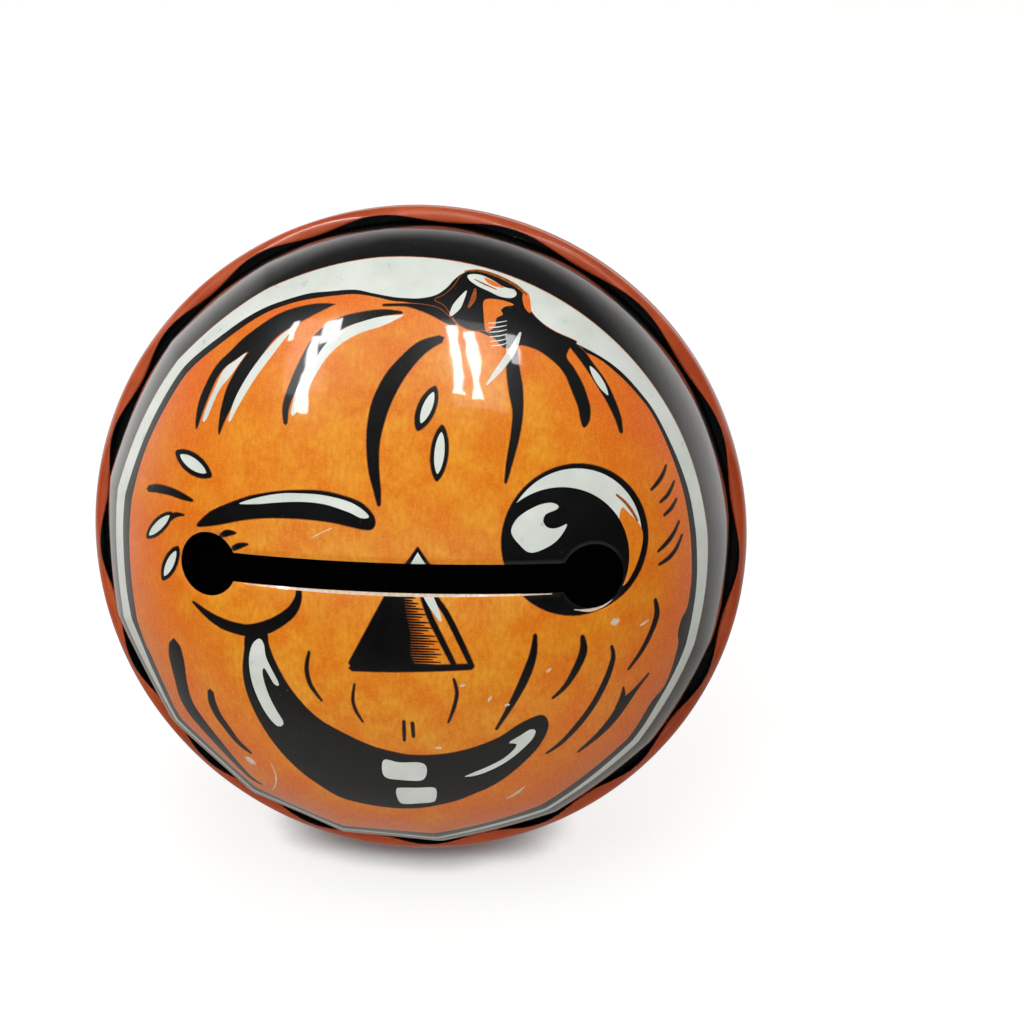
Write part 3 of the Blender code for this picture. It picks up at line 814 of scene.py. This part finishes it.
# %% The winking eye and its seeds
paint("black",
      leaf(-27.7, 12.9, 6.8, 2.7, -25), leaf(-33, 4.2, 6.2, 2.1, 40), leaf(-31, -0.7, 5.8, 2.2, 60),
      brush((-31.2, 5.4, 0.9), (-30, 6, 0.6), (-28.7, 6.1, 0.2)),
      brush((-35.3, 8.95, 0.8), (-33.5, 9.15, 1.1), (-31, 8.95, 1.0), (-29, 8.5, 0.8), (-27.4, 8.1, 0.3)),
      blob((-26.6, 4.9), (-24, 5.2), (-20, 6.2), (-17, 6.7), (-14, 6.9), (-11, 6.9), (-8, 6.7), (-6, 6.35),
           (-4, 6), (-2.9, 6.1), (-2.5, 7), (-3, 8.1), (-4.2, 9.2), (-6, 9.9), (-9, 10.5), (-12, 10.5),
           (-15, 10.2), (-18, 9.6), (-20, 9), (-23.5, 7.5), (-25, 6.6)),
      brush((-23, 3.9, 0.5), (-22, 4.4, 0.8), (-20.8, 4.5, 0.2)),
      brush((-21.2, 2.4, 0.6), (-20.3, 2.9, 0.7), (-19.1, 3.2, 0.2)),
      brush((-27.3, -5.4, 0.3), (-25, -6.85, 1.0), (-23, -7.7, 1.4), (-21, -8.1, 1.5), (-19, -8.15, 1.6),
            (-17, -7.6, 1.7), (-15, -6.5, 1.5), (-13.2, -5, 1.3), (-12.3, -3.3, 0.9), (-12.2, -1.7, 0.6)))
paint("white",
      leaf(-27.7, 12.9, 4.9, 1.5, -25), leaf(-33, 4.2, 4.9, 1.2, 40), leaf(-31, -0.7, 4.3, 1.2, 60),
      blob((-20.4, 8.3), (-18, 9.2), (-15, 9.9), (-12, 10.1), (-9, 10), (-6, 9.4), (-4.2, 8.5), (-3.3, 7.6),
           (-4.3, 7.4), (-6, 8.1), (-9, 8.9), (-12, 9.05), (-15, 8.8), (-18, 8.4)))
print("marks so far:", len(marks))

# %% The open eye
EYE = (22.85, 4.8, 9.75)
PUPIL = (20.6, 2.3, 9.3)


def inside(outline, ring):
    """Draws an outline's points back into a circle."""
    x, y, radius = ring
    drawn = []
    for px, py in outline:
        reach = math.hypot(px - x, py - y)
        pull = min(1.0, radius / reach) if reach else 1.0
        drawn.append((x + (px - x) * pull, y + (py - y) * pull))
    return drawn


paint("black", circle(*EYE))
paint("white", circle(22.6, 4.9, 9.05))
paint("orange", blob((28.6, 8.6), (29.6, 8.2), (31.6, 6), (31.7, 3.6), (30.6, 0.4), (29, -1.6), (27, -1),
                     (28, 4)))
paint("brown", brush((28, 10.5, 0.3), (29.2, 9.5, 0.4), (30.2, 8.3, 0.4), (31, 7, 0.3)))
paint("black", inside(circle(*PUPIL), EYE))
paint("white", blob(
    (14.3, 6), (15.3, 4.5), (16.8, 3.4), (19, 4.1), (20.5, 5.3), (21.4, 6.9), (20.5, 6.6), (19.7, 6.4),
    (18.8, 6.6), (18.3, 7.4), (18.6, 8.2), (19.4, 8.55), (20.1, 8.85), (20.2, 9.3), (19.3, 9.65),
    (17.8, 9.4), (16, 8.5), (14.8, 7.45)))
paint("black",
      brush((33.1, 11, 0.3), (34.2, 12, 0.5), (35, 13, 0.5), (35.6, 14.2, 0.3)),
      brush((34.5, 9.3, 0.3), (35.8, 10.3, 0.5), (36.9, 12, 0.3)),
      brush((35.1, 7.5, 0.3), (36.3, 8.4, 0.5), (37.2, 9.6, 0.3)),
      brush((34.2, 2.7, 0.3), (35.6, 3.8, 0.55), (36.7, 5, 0.5), (37.6, 6.5, 0.3)),
      brush((34.4, 0.9, 0.3), (36, 1.7, 0.55), (37.2, 2.9, 0.5), (38.1, 4.6, 0.3)))
print("marks so far:", len(marks))

# %% [markdown]
# ## The nose
# The nose is a straight-sided pyramid, cut by the slot. Its shaded face is hatched with short
# strokes of uneven length, one under another at an even step.

# %% The nose
def corners(*points):
    """Outline of a straight-sided shape."""
    outline = []
    for start, end in zip(points, points[1:] + points[:1]):
        pieces = max(1, math.ceil(math.dist(start, end) / 0.5))
        outline += [tuple(a + (b - a) * count / pieces for a, b in zip(start, end))
                    for count in range(pieces)]
    return outline


paint("black", corners((1.1, 1.6), (2.8, 4.1), (4.5, 1.6)))
paint("white", corners((1.7, 1.5), (2.8, 3.4), (4, 1.5)))
paint("black",
      corners((-1, -1.7), (1.1, -1.7), (1.4, -4.5), (2, -7), (2, -10), (2.6, -11.5), (-5.4, -12.1),
              (-5.9, -11.3)),
      brush((3.3, -1.6, 0.6), (4.3, -4.5, 0.7), (5.9, -7.9, 0.7), (7.5, -11.3, 0.6)),
      brush((4.5, -1.6, 0.6), (6.4, -4.3, 0.7), (8.2, -8, 0.7), (9.7, -11.4, 0.6)),
      brush((-5.5, -12, 0.8), (0, -11.8, 0.9), (9.6, -11.4, 0.8)))
paint("white", brush((3.9, -1.7, 1.1), (4.8, -3.4, 1.0), (5.7, -5.2, 0.4)))
hatch_lengths = (1.3, 1.9, 1.5, 2.4, 2.0, 3.1, 2.3, 3.6, 3.0, 2.6, 4.2, 3.3, 4.6, 3.9, 3.2, 5.0, 4.1, 5.4,
                 4.8, 4.0, 5.6, 4.9, 5.9, 5.2, 4.6, 5.8, 5.1)
paint("black", *[brush((1, -2 - 0.35 * n, 0.3), (1 + 0.55 * length, -2.03 - 0.35 * n, 0.22),
                       (1 + length * 0.82, -2.06 - 0.35 * n, 0.09))
                 for n, length in enumerate(hatch_lengths)], fringe=0.04)
print("marks so far:", len(marks))

# %% [markdown]
# ## The grin, the cheeks, the wear and a painted edge highlight
# The grin is one black crescent with two teeth and two highlights in white. Thin tapering strokes
# shape the cheeks and chin. Last come the chips and scratches of an old toy, and a pale line along
# the slot's lower edge that is a painted highlight: the light caught by the slot's rolled edge.

# %% The grin
paint("black", blob(
    (-19.4, -8.6), (-19.9, -11), (-20.3, -13.6), (-20.2, -16.3), (-19.6, -18.8), (-18.6, -21.5),
    (-17.2, -24.3), (-15.5, -26.9), (-13.5, -29.3), (-11.5, -31.1), (-8.6, -33.3), (-6, -34.1), (-3, -34.6),
    (0, -34.8), (3, -34.5), (5.5, -33.8), (8, -32.9), (10, -31.8), (12.5, -30.4), (15, -28.3), (17, -26.1),
    (18.5, -24.1), (19.6, -21.7), (19.7, -20), (18.9, -18.9), (17.3, -19.3), (15.5, -20.3), (13.5, -21.8),
    (11, -23), (8, -24), (5, -24.5), (2, -24.6), (0, -24.3), (-3, -23.5), (-5.5, -22.4), (-8, -21.1),
    (-10, -19.9), (-12, -18), (-14, -15.3), (-15.5, -12.4), (-16.4, -9.9), (-16.8, -8)))
paint("white",
      blob((-17.7, -9.1), (-18.7, -10), (-19.3, -12), (-19.3, -14.5), (-18.8, -16.9), (-17.9, -19.3),
           (-16.9, -21), (-16, -21.8), (-15.3, -21.5), (-15.2, -20.8), (-15.9, -19.4), (-16.8, -17.3),
           (-17.4, -15), (-17.5, -13.6), (-17.2, -13.2), (-16.6, -14.2), (-16, -15.3), (-15.4, -15.5),
           (-15.4, -14.9), (-16.2, -13.2), (-16.9, -11.5), (-17.1, -9.8)),
      blob((8.8, -28.4), (10.5, -28.2), (12.5, -27.3), (14.5, -26), (16.3, -24.3), (17.7, -22.6),
           (18.1, -21.3), (17.4, -21), (16, -21.9), (14.6, -22.9), (15.6, -23.2), (15.2, -24.2),
           (13.8, -25.6), (12, -26.7), (10, -27.7)),
      blob((-1.6, -25.5), (0.2, -25.9), (2.5, -25.8), (3.6, -26.2), (3.8, -27.5), (3.4, -28.7),
           (2.5, -29.1), (0, -29), (-1.5, -28.8), (-2.1, -28), (-2.1, -26.3)),
      blob((0, -30.5), (2.5, -30.4), (4.5, -30.3), (5, -30.9), (4.9, -32.5), (4.4, -33.3), (2.5, -33.6),
           (0.8, -33.8), (-0.1, -33.5), (-0.5, -31.8), (-0.4, -30.8)))
print("marks so far:", len(marks))

# %% Cheek and chin lines
paint("black",
      brush((-11, -10.2, 0.3), (-11.4, -12.5, 0.5), (-11, -14.8, 0.5), (-9.6, -17, 0.25)),
      brush((-5.2, -14.2, 0.2), (-5.5, -16.5, 0.35), (-5.1, -18.2, 0.35), (-4.3, -19.7, 0.2)),
      brush((7.4, -13.1, 0.25), (7.8, -15, 0.4), (7.4, -17.3, 0.4), (6.7, -19.4, 0.2)),
      brush((1, -19.3, 0.35), (1, -20.8, 0.4), (1, -22.3, 0.3)),
      brush((2.1, -19.5, 0.4), (2.15, -20.6, 0.4), (2.2, -21.7, 0.3)),
      brush((17.6, -7.3, 0.4), (17.4, -10, 0.9), (16.5, -13, 1.1), (15, -16.5, 0.8), (12.9, -20.6, 0.3)),
      brush((23.8, -7.9, 0.5), (24, -10, 1.0), (23.1, -12.5, 0.9), (21.8, -14.8, 0.6), (20.2, -16.4, 0.3)),
      brush((27.9, -9.7, 0.3), (28.2, -11.5, 0.6), (27.4, -14.6, 0.8), (25.9, -18, 0.8), (24, -21, 0.8),
            (21.8, -23.7, 0.6), (19.8, -25.3, 0.3)),
      brush((33.9, -14.9, 0.3), (32.1, -17, 0.7), (30.5, -18.8, 1.5), (29, -21.2, 1.3), (27, -23.6, 0.9),
            (24.3, -26, 0.3)),
      brush((30.1, -16.2, 0.2), (30.1, -18, 0.9), (29.6, -19.5, 1.0)),
      brush((34, -3.9, 0.4), (34.4, -6, 0.8), (33.7, -8.4, 0.7), (32.4, -11, 0.6), (30.6, -13.5, 0.3)),
      brush((-31.1, -12.3, 2.0), (-31.1, -14.5, 2.7), (-31, -18, 2.4), (-30.8, -21, 2.5),
            (-29.4, -23.7, 2.3), (-27.7, -26.3, 2.1), (-26, -29, 1.8), (-24.4, -31.5, 1.4),
            (-22.8, -33.5, 1.0), (-20.8, -34.4, 0.3)),
      brush((-25.8, -18.3, 0.9), (-25.8, -20, 1.2), (-25.2, -22, 1.2), (-24, -24, 1.1), (-22.9, -25.8, 0.9),
            (-21.7, -27, 0.7), (-20.9, -27.6, 0.3)))
print("marks so far:", len(marks))

# %% Chips and scratches from a long life, and a painted highlight along the slot
paint("wear_and_edge_highlight",
      leaf(-21.4, -29.3, 1.9, 1.3, -35), leaf(28.2, -6.3, 1.3, 1.0, 20), leaf(19.5, -12.3, 0.9, 0.4, 40),
      leaf(8.5, -14, 0.8, 0.35, 15), leaf(12, -16, 0.9, 0.4, 60), leaf(14.2, -17, 0.8, 0.35, 10),
      leaf(5.4, -23.4, 0.9, 0.4, 0), leaf(32.5, -7, 1.6, 0.35, 25),
      brush((-18, -28.8, 0.1), (-17.7, -31, 0.22), (-18.3, -33.5, 0.2), (-19.3, -35.4, 0.1)),
      brush((-10.6, 4.6, 0.1), (-9.4, 5.3, 0.14), (-8, 6, 0.1)),
      brush((14.6, -33.6, 0.1), (16, -32.5, 0.5), (17.1, -31.2, 0.1)),
      # These two pale strokes, along the slot's lower edge and round the right hole, are painted highlights:
      # light caught by the tin edge, not wear.
      brush((-19.6, -2.0, 0.1), (-8, -2.05, 0.4), (5, -2.05, 0.4), (19.6, -2.0, 0.1)),
      brush((22.6, -4.2, 0.1), (25, -4.4, 0.4), (27.4, -3.2, 0.45), (28.7, -0.6, 0.1)))
marks[ground_marks:ground_marks] = bleeds
print("the drawing has", len(marks), "marks")

# %% [markdown]
# ## Cutting the drawing into the sheet
# All outlines go into one constrained triangulation of the flat sheet, with rings of plain points
# between them so that the dome stays smooth. Each triangle takes the ink of the last mark that
# covers it, and triangles in the slot are dropped. Then every point is pressed onto the dome.
# The sheet's back is made by stepping each point inward along its own normal, and the same normals
# are kept for shading, because a patchwork of thin triangles would otherwise reflect unevenly.

# %% Lay out the points of the sheet
def slot_outline(offset):
    """The slot's edge, grown by offset."""
    half, hole = SLOT_HALF + offset, HOLE_RADIUS + offset
    mouth = math.degrees(math.asin(half / hole))
    right = circle(SLOT_REACH, 0, hole, mouth - 180, 180 - mouth)
    left = [(-x, -y) for x, y in right]
    reach = SLOT_REACH - hole * math.cos(math.radians(mouth))
    steps = round(2 * reach / 0.5)
    top = [(reach - 2 * reach * count / steps, half) for count in range(1, steps)]
    bottom = [(-x, -y) for x, y in top]
    return right + top + left + bottom


GRAIN = 0.5
SLOT_RINGS = (0.15, 0.35, 0.6, 0.9)


def lay_out_sheet():
    """The flat sheet's points, the outlines as faces, and extra rings of edges by the slot."""
    points, outlines, taken = [], [], set()

    def add(outline):
        loop = []
        for x, y in outline:
            if not loop or math.dist(points[loop[-1]], (x, y)) > 0.02:
                loop.append(len(points))
                points.append((x, y))
                taken.add((round(x / GRAIN), round(y / GRAIN)))
        return loop

    for ink, outline in marks:
        outlines.append(add(outline if turning(outline) > 0 else outline[::-1]))
    outlines.append(add(slot_outline(0)))
    for offset in SLOT_RINGS:
        add(slot_outline(offset))
    rings = [0.9 * count for count in range(1, 60)] + distances[DOME_STEPS + 2::2][:-1]
    for number, ring in enumerate(rings):
        steps = round(2 * math.pi * ring / 0.95)
        for count in range(steps):
            angle = 2 * math.pi * (count + 0.5 * (number % 2)) / steps
            x, y = ring * math.cos(angle), ring * math.sin(angle)
            free = ring > foot_distance or (round(x / GRAIN), round(y / GRAIN)) not in taken
            if free and from_slot(x, y) > 0.2:
                points.append((x, y))
    return points, outlines


flat_points, outlines = lay_out_sheet()
print("the flat sheet has", len(flat_points), "points and", len(outlines), "outlines")

# %% Cut, press and thicken the front shell
INKS = ("black", "white", "orange", "brown", "wear_and_edge_highlight")
found_points, _, triangles, _, _, covers = delaunay_2d_cdt(
    [Vector(point) for point in flat_points], [], outlines, 1, 1e-5, True)
slot_mark = len(marks)
kept = [(face, max(cover)) for face, cover in zip(triangles, covers) if cover and max(cover) < slot_mark]
print("the cut sheet has", len(kept), "triangles")


def press_sheet():
    """The front shell's mesh in the scene: printed outside, tin inside, cut edges between."""
    used = sorted({index for face, mark in kept for index in face})
    number = {index: count for count, index in enumerate(used)}
    flat = [found_points[index] for index in used]
    normals = [facing(x, y) for x, y in flat]
    outer = [press(x, y) for x, y in flat]
    inner = [spot - SHEET * normal for spot, normal in zip(outer, normals)]
    total = len(used)
    faces, slots, shading = [], [], []
    borders = {}
    for face, mark in kept:
        loop = [number[index] for index in face]
        a, b, c = (flat[index] for index in loop)
        if (b - a).cross(c - a) < 0:
            loop.reverse()
        faces.append(loop)
        slots.append(INKS.index(marks[mark][0]))
        shading += [normals[index] for index in loop]
        faces.append([index + total for index in reversed(loop)])
        slots.append(len(INKS))
        shading += [-normals[index] for index in reversed(loop)]
        for start, end in zip(loop, loop[1:] + loop[:1]):
            if (end, start) in borders:
                del borders[end, start]
            else:
                borders[start, end] = True
    for start, end in borders:
        side = (outer[end] - outer[start]).cross(normals[start]).normalized()
        faces.append([start, start + total, end + total, end])
        slots.append(len(INKS) + 1)
        shading += [side] * 4
    mesh = bpy.data.meshes.new("printed_front_shell")
    mesh.from_pydata([place @ spot for spot in outer + inner], [], faces)
    mesh.polygons.foreach_set("material_index", slots)
    chart = mesh.uv_layers.new(name="OFBake")
    for loop in mesh.loops:
        x, y = flat[loop.vertex_index % total]
        chart.data[loop.index].uv = (0.5 + x / CHART_SPAN, 0.5 + y / CHART_SPAN)
    mesh.shade_smooth()
    mesh.normals_split_custom_set([bell_turn @ normal for normal in shading])
    return mesh


front_mesh = press_sheet()
front_shell = bpy.data.objects.new("printed_front_shell", front_mesh)
bpy.context.scene.collection.objects.link(front_shell)
print("the front shell has", len(front_mesh.polygons), "faces")

# %% [markdown]
# ## Printing inks under varnish
# Litho ink on tin is thin and a little uneven: the orange was laid on in a fine stipple over
# yellow, so it is mottled, redder towards the edge, and the varnish over it all gives one sharp
# gloss. The same varnish covers every ink, so the inks share a faint unevenness of the surface and
# differ only in colour. Patterns read the sheet's own flat map, in millimetres.

# %% Make the inks
def sheet_coordinates(tree):
    """The flat sheet's own map, in millimetres from its middle."""
    where = step(tree, "ShaderNodeUVMap", uv_map="OFBake").outputs[0]
    mapping = step(tree, "ShaderNodeMapping", {"Vector": where})
    mapping.inputs["Location"].default_value = (-CHART_SPAN / 2, -CHART_SPAN / 2, 0)
    mapping.inputs["Scale"].default_value = (CHART_SPAN, CHART_SPAN, 1)
    return mapping.outputs[0]


def make_ink(name, tint):
    """An ink under glossy varnish; tint(tree, where) gives its colour."""
    material, tree, shader = start_material(
        name, Roughness=0.3, IOR=1.5, Specular_IOR_Level=0.2,
        Coat_Weight=1.0, Coat_Roughness=0.045, Coat_IOR=1.5)
    where = sheet_coordinates(tree)
    colour = tint(tree, where)
    dust = noise(tree, where, 0.35, detail=2.0)
    colour = blend_colour(tree, ramp(tree, dust, 0.72, 0.78, 0, 0.25), colour, linear(190, 180, 160))
    tree.links.new(colour, shader.inputs["Base Color"])
    waviness = noise(tree, where, 7.0, detail=2.0)
    raise_surface(tree, shader, waviness, 0.00007, ("Normal", "Coat Normal"))
    return material


def orange_tint(tree, where):
    reach = step(tree, "ShaderNodeVectorMath", {0: where}, operation="LENGTH").outputs["Value"]
    drift = noise(tree, where, 14.0, detail=3.0)
    outward = calc(tree, "ADD", reach, ramp(tree, drift, 0.3, 0.7, -7, 7))
    clouds = noise(tree, where, 5.0, detail=5.0, roughness=0.62)
    fibres = noise(tree, where, 0.55, (1, 2.4, 1), detail=3.0)
    colour = blend_colour(tree, ramp(tree, clouds, 0.4, 0.6), linear(228, 126, 12), linear(236, 158, 36))
    colour = blend_colour(tree, ramp(tree, outward, 22, 42, 0, 0.9), colour, linear(232, 104, 34))
    colour = blend_colour(tree, ramp(tree, fibres, 0.35, 0.65, 0, 0.4), colour, linear(212, 92, 10))
    stipple = noise(tree, where, 0.28, detail=1.0)
    return blend_colour(tree, ramp(tree, stipple, 0.5, 0.7, 0, 0.22), colour, linear(248, 180, 64))


def black_tint(tree, where):
    clouds = noise(tree, where, 4.0, detail=4.0)
    return blend_colour(tree, ramp(tree, clouds, 0.35, 0.65), linear(6, 6, 6), linear(13, 13, 12))


def white_tint(tree, where):
    clouds = noise(tree, where, 6.0, detail=4.0)
    colour = blend_colour(tree, ramp(tree, clouds, 0.35, 0.65), linear(226, 230, 222), linear(212, 218, 208))
    smudges = noise(tree, where, 2.2, detail=3.0)
    return blend_colour(tree, ramp(tree, smudges, 0.64, 0.76, 0, 0.35), colour, linear(120, 118, 108))


def brown_tint(tree, where):
    grains = noise(tree, where, 0.6, detail=2.0)
    return blend_colour(tree, ramp(tree, grains, 0.3, 0.7), linear(120, 58, 12), linear(176, 92, 24))


def wear_and_edge_highlight_tint(tree, where):
    grains = noise(tree, where, 0.5, detail=2.0)
    return blend_colour(tree, ramp(tree, grains, 0.3, 0.7), linear(214, 176, 140), linear(228, 216, 200))


for material in (make_ink("black ink", black_tint), make_ink("white ink", white_tint),
                 make_ink("orange ink", orange_tint), make_ink("brown overprint", brown_tint),
                 make_ink("wear and edge highlight", wear_and_edge_highlight_tint), dark_tin, cut_tin):
    front_mesh.materials.append(material)
print("inks:", [material.name for material in front_mesh.materials])

# %% [markdown]
# ## Hand each piece to its body
# Every piece now stands for a imported node and rides on that node's body, so a pellet rolls with
# its joint while the shells, handle, nail and washer stay with the bell.

# %% Ride and replace
for piece, node, body, finish in (
        (front_shell, "front_shell", "bell", "printed_tin"),
        (back_shell, "back_shell", "bell", "orange_tin"),
        (handle, "handle", "bell", "turned_wood"),
        (nail, "handle_nail", "bell", "plain_steel"),
        (washer, "nail_washer", "bell", "plain_steel"),
        (pellets[0], "pellet_1", "front_ball", "pellet_steel"),
        (pellets[1], "pellet_2", "middle_ball", "pellet_steel"),
        (pellets[2], "pellet_3", "back_ball", "pellet_steel")):
    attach(piece, body)
    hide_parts(node)
    print(piece.name, "rides on", body)

# %% [markdown]
# ## Camera
# The view is from a little above, close to the bell's own axis but to one side of it, so the rim
# shows more at the top right. The camera is placed from the bell: two angles off the bell's axis
# and a roll give its direction, then it turns a little so the bell sits left of the middle.

# %% Place the camera
VIEW_OFF_AXIS = math.radians(13.0)
VIEW_SIDE = math.radians(118.4)
VIEW_ROLL = math.radians(1.2)
VIEW_DISTANCE = 289.25
VIEW_SWING = math.radians(2.495)
VIEW_NOD = math.radians(0.543)
LENS = 74.21
SENSOR = 36.0

tilt_axis = Vector((math.cos(VIEW_SIDE), math.sin(VIEW_SIDE), 0))
face_axis = Vector((0, 0, math.cos(VIEW_OFF_AXIS))) + tilt_axis * math.sin(VIEW_OFF_AXIS)
tilt = Vector((0, 0, 1)).rotation_difference(face_axis).to_matrix()
to_view = tilt @ Matrix.Rotation(VIEW_ROLL, 3, "Z")
right, down, toward = [Vector((row[0], -row[1], row[2])) for row in to_view]
look = Matrix((right, -down, toward)).transposed()
swing = Matrix.Rotation(-VIEW_SWING, 3, "Y")
nod = Matrix.Rotation(VIEW_NOD, 3, "X")
camera_turn = (bell_turn @ look @ swing @ nod).to_4x4()
camera_data = bpy.data.cameras.new("camera")
camera_data.sensor_width = SENSOR
camera_data.lens = LENS
camera_data.clip_start = 0.01
camera = bpy.data.objects.new("camera", camera_data)
camera.matrix_world = Matrix.Translation(place @ (VIEW_DISTANCE * toward)) @ camera_turn
bpy.context.scene.collection.objects.link(camera)
bpy.context.scene.camera = camera
print("the camera stands at", [round(value, 3) for value in camera.location])

# %% [markdown]
# ## Floor and light
# A white table in a room with tall windows: the windows show as bright upright patches on the
# glossy dome. A light that should be seen in a curved mirror can't be placed by eye, so each one
# is placed by the law of reflection, from the point of the dome where its image should be.

# %% The table
TABLE_HALF = 3.0


def make_floor():
    material, tree, shader = start_material("pale table", Roughness=0.9, Emission_Strength=1.0)
    where = tree.nodes.new("ShaderNodeTexCoord").outputs["Object"]
    soft = step(tree, "ShaderNodeTexNoise", {"Vector": where, "Scale": 60.0, "Detail": 3.0}).outputs["Fac"]
    cloth = blend_colour(tree, soft, (0.26, 0.26, 0.26, 1), (0.3, 0.3, 0.3, 1))
    tree.links.new(cloth, shader.inputs["Base Color"])
    # The table glows white by itself, and ambient occlusion darkens that glow where the bell stands close: a
    # painted contact shadow.
    open_air = step(tree, "ShaderNodeAmbientOcclusion", {"Distance": 0.006}, samples=8).outputs["AO"]
    glow_with_painted_contact_shadow = blend_colour(tree, ramp(tree, open_air, 0.2, 0.72), (0.05, 0.052, 0.052, 1), (0.8, 0.8, 0.79, 1))
    tree.links.new(glow_with_painted_contact_shadow, shader.inputs["Emission Color"])
    mesh = bpy.data.meshes.new("table")
    ends = ((-1, -1), (1, -1), (1, 1), (-1, 1))
    mesh.from_pydata([(TABLE_HALF * x, TABLE_HALF * y, 0) for x, y in ends], [], [(0, 1, 2, 3)])
    mesh.materials.append(material)
    table = bpy.data.objects.new("table", mesh)
    bpy.context.scene.collection.objects.link(table)
    table.visible_glossy = False
    table.visible_diffuse = False
    return table


table = make_floor()
print("the table is", 2 * TABLE_HALF, "m across")

# %% Windows placed by reflection
def add_window(name, spot, width, height, brightness, distance=0.6):
    """A soft light whose image shows on the dome at a point of the flat sheet."""
    point = place @ press(*spot)
    normal = (bell_turn @ facing(*spot)).normalized()
    away = (camera.location - point).normalized()
    mirrored = 2 * normal.dot(away) * normal - away
    data = bpy.data.lights.new(name, "AREA")
    data.shape = "RECTANGLE"
    data.size, data.size_y = width, height
    data.energy = brightness * width * height * math.pi
    light = bpy.data.objects.new(name, data)
    upright = camera.matrix_world.to_3x3() @ Vector((0, 1, 0))
    upright = (upright - 2 * normal.dot(upright) * normal).normalized()
    across = upright.cross(mirrored).normalized()
    stand = Matrix((across, mirrored.cross(across), mirrored)).transposed().to_4x4()
    light.matrix_world = Matrix.Translation(point + mirrored * distance) @ stand
    light.visible_diffuse = False
    bpy.context.scene.collection.objects.link(light)
    print(name, "stands at", [round(value, 2) for value in light.location])
    return light


WINDOW_GLOW = 22.0
add_window("left pane, left half", (-15, 31), 0.03, 0.09, WINDOW_GLOW)
add_window("left pane, right half", (-9.5, 31), 0.05, 0.10, WINDOW_GLOW)
add_window("left pane, below", (-12.3, 25.5), 0.035, 0.28, WINDOW_GLOW)
add_window("right pane, left bar", (6.7, 28), 0.03, 0.28, WINDOW_GLOW)
add_window("right pane, right bar", (9.2, 27.3), 0.03, 0.26, WINDOW_GLOW)
add_window("far pane", (14.4, 29.2), 0.03, 0.12, WINDOW_GLOW * 0.5)
left_curtain = add_window("left curtain", (-12.5, 28), 0.13, 0.30, WINDOW_GLOW * 0.06)
right_curtain = add_window("right curtain", (9.5, 27.5), 0.17, 0.36, WINDOW_GLOW * 0.06)

# %% Room light and view
def add_soft_box(name, location, size, brightness, aim=(0, -0.04, 0.04)):
    """A wide soft light aimed at the toy."""
    data = bpy.data.lights.new(name, "AREA")
    data.shape = "RECTANGLE"
    data.size, data.size_y = size
    data.energy = brightness * size[0] * size[1] * math.pi
    light = bpy.data.objects.new(name, data)
    light.location = location
    light.rotation_euler = (Vector(location) - Vector(aim)).to_track_quat("Z", "Y").to_euler()
    light.visible_glossy = False
    bpy.context.scene.collection.objects.link(light)
    print("soft box:", name, size, "m across")


add_soft_box("ceiling", (0.1, 0.4, 1.3), (1.6, 1.2), 1.35)
add_soft_box("front fill", (-0.5, -0.9, 0.75), (0.8, 0.8), 0.45)
add_soft_box("window light", (left_curtain.location + right_curtain.location) / 2, (0.35, 0.4), 3.9)
add_soft_box("bounce from the table", (-0.1, -0.75, 0.14), (1.0, 0.24), 4.6)
world = bpy.data.worlds.new("room")
world.use_nodes = True
room = world.node_tree
way = room.nodes.new("ShaderNodeTexCoord").outputs["Generated"]
rise = step(room, "ShaderNodeSeparateXYZ", {"Vector": way}).outputs["Z"]
depth = step(room, "ShaderNodeSeparateXYZ", {"Vector": way}).outputs["Y"]
wall = blend_colour(room, ramp(room, depth, -0.35, 0.5), (0.03, 0.03, 0.035, 1), (1.1, 1.08, 1.05, 1))
wall = blend_colour(room, ramp(room, rise, 0.15, 0.6), wall, (0.09, 0.09, 0.095, 1))
wall = blend_colour(room, ramp(room, rise, -0.2, -0.65), wall, (0.34, 0.33, 0.31, 1))
room.links.new(wall, room.nodes["Background"].inputs["Color"])
bpy.context.scene.world = world
bpy.context.scene.view_settings.view_transform = "Standard"
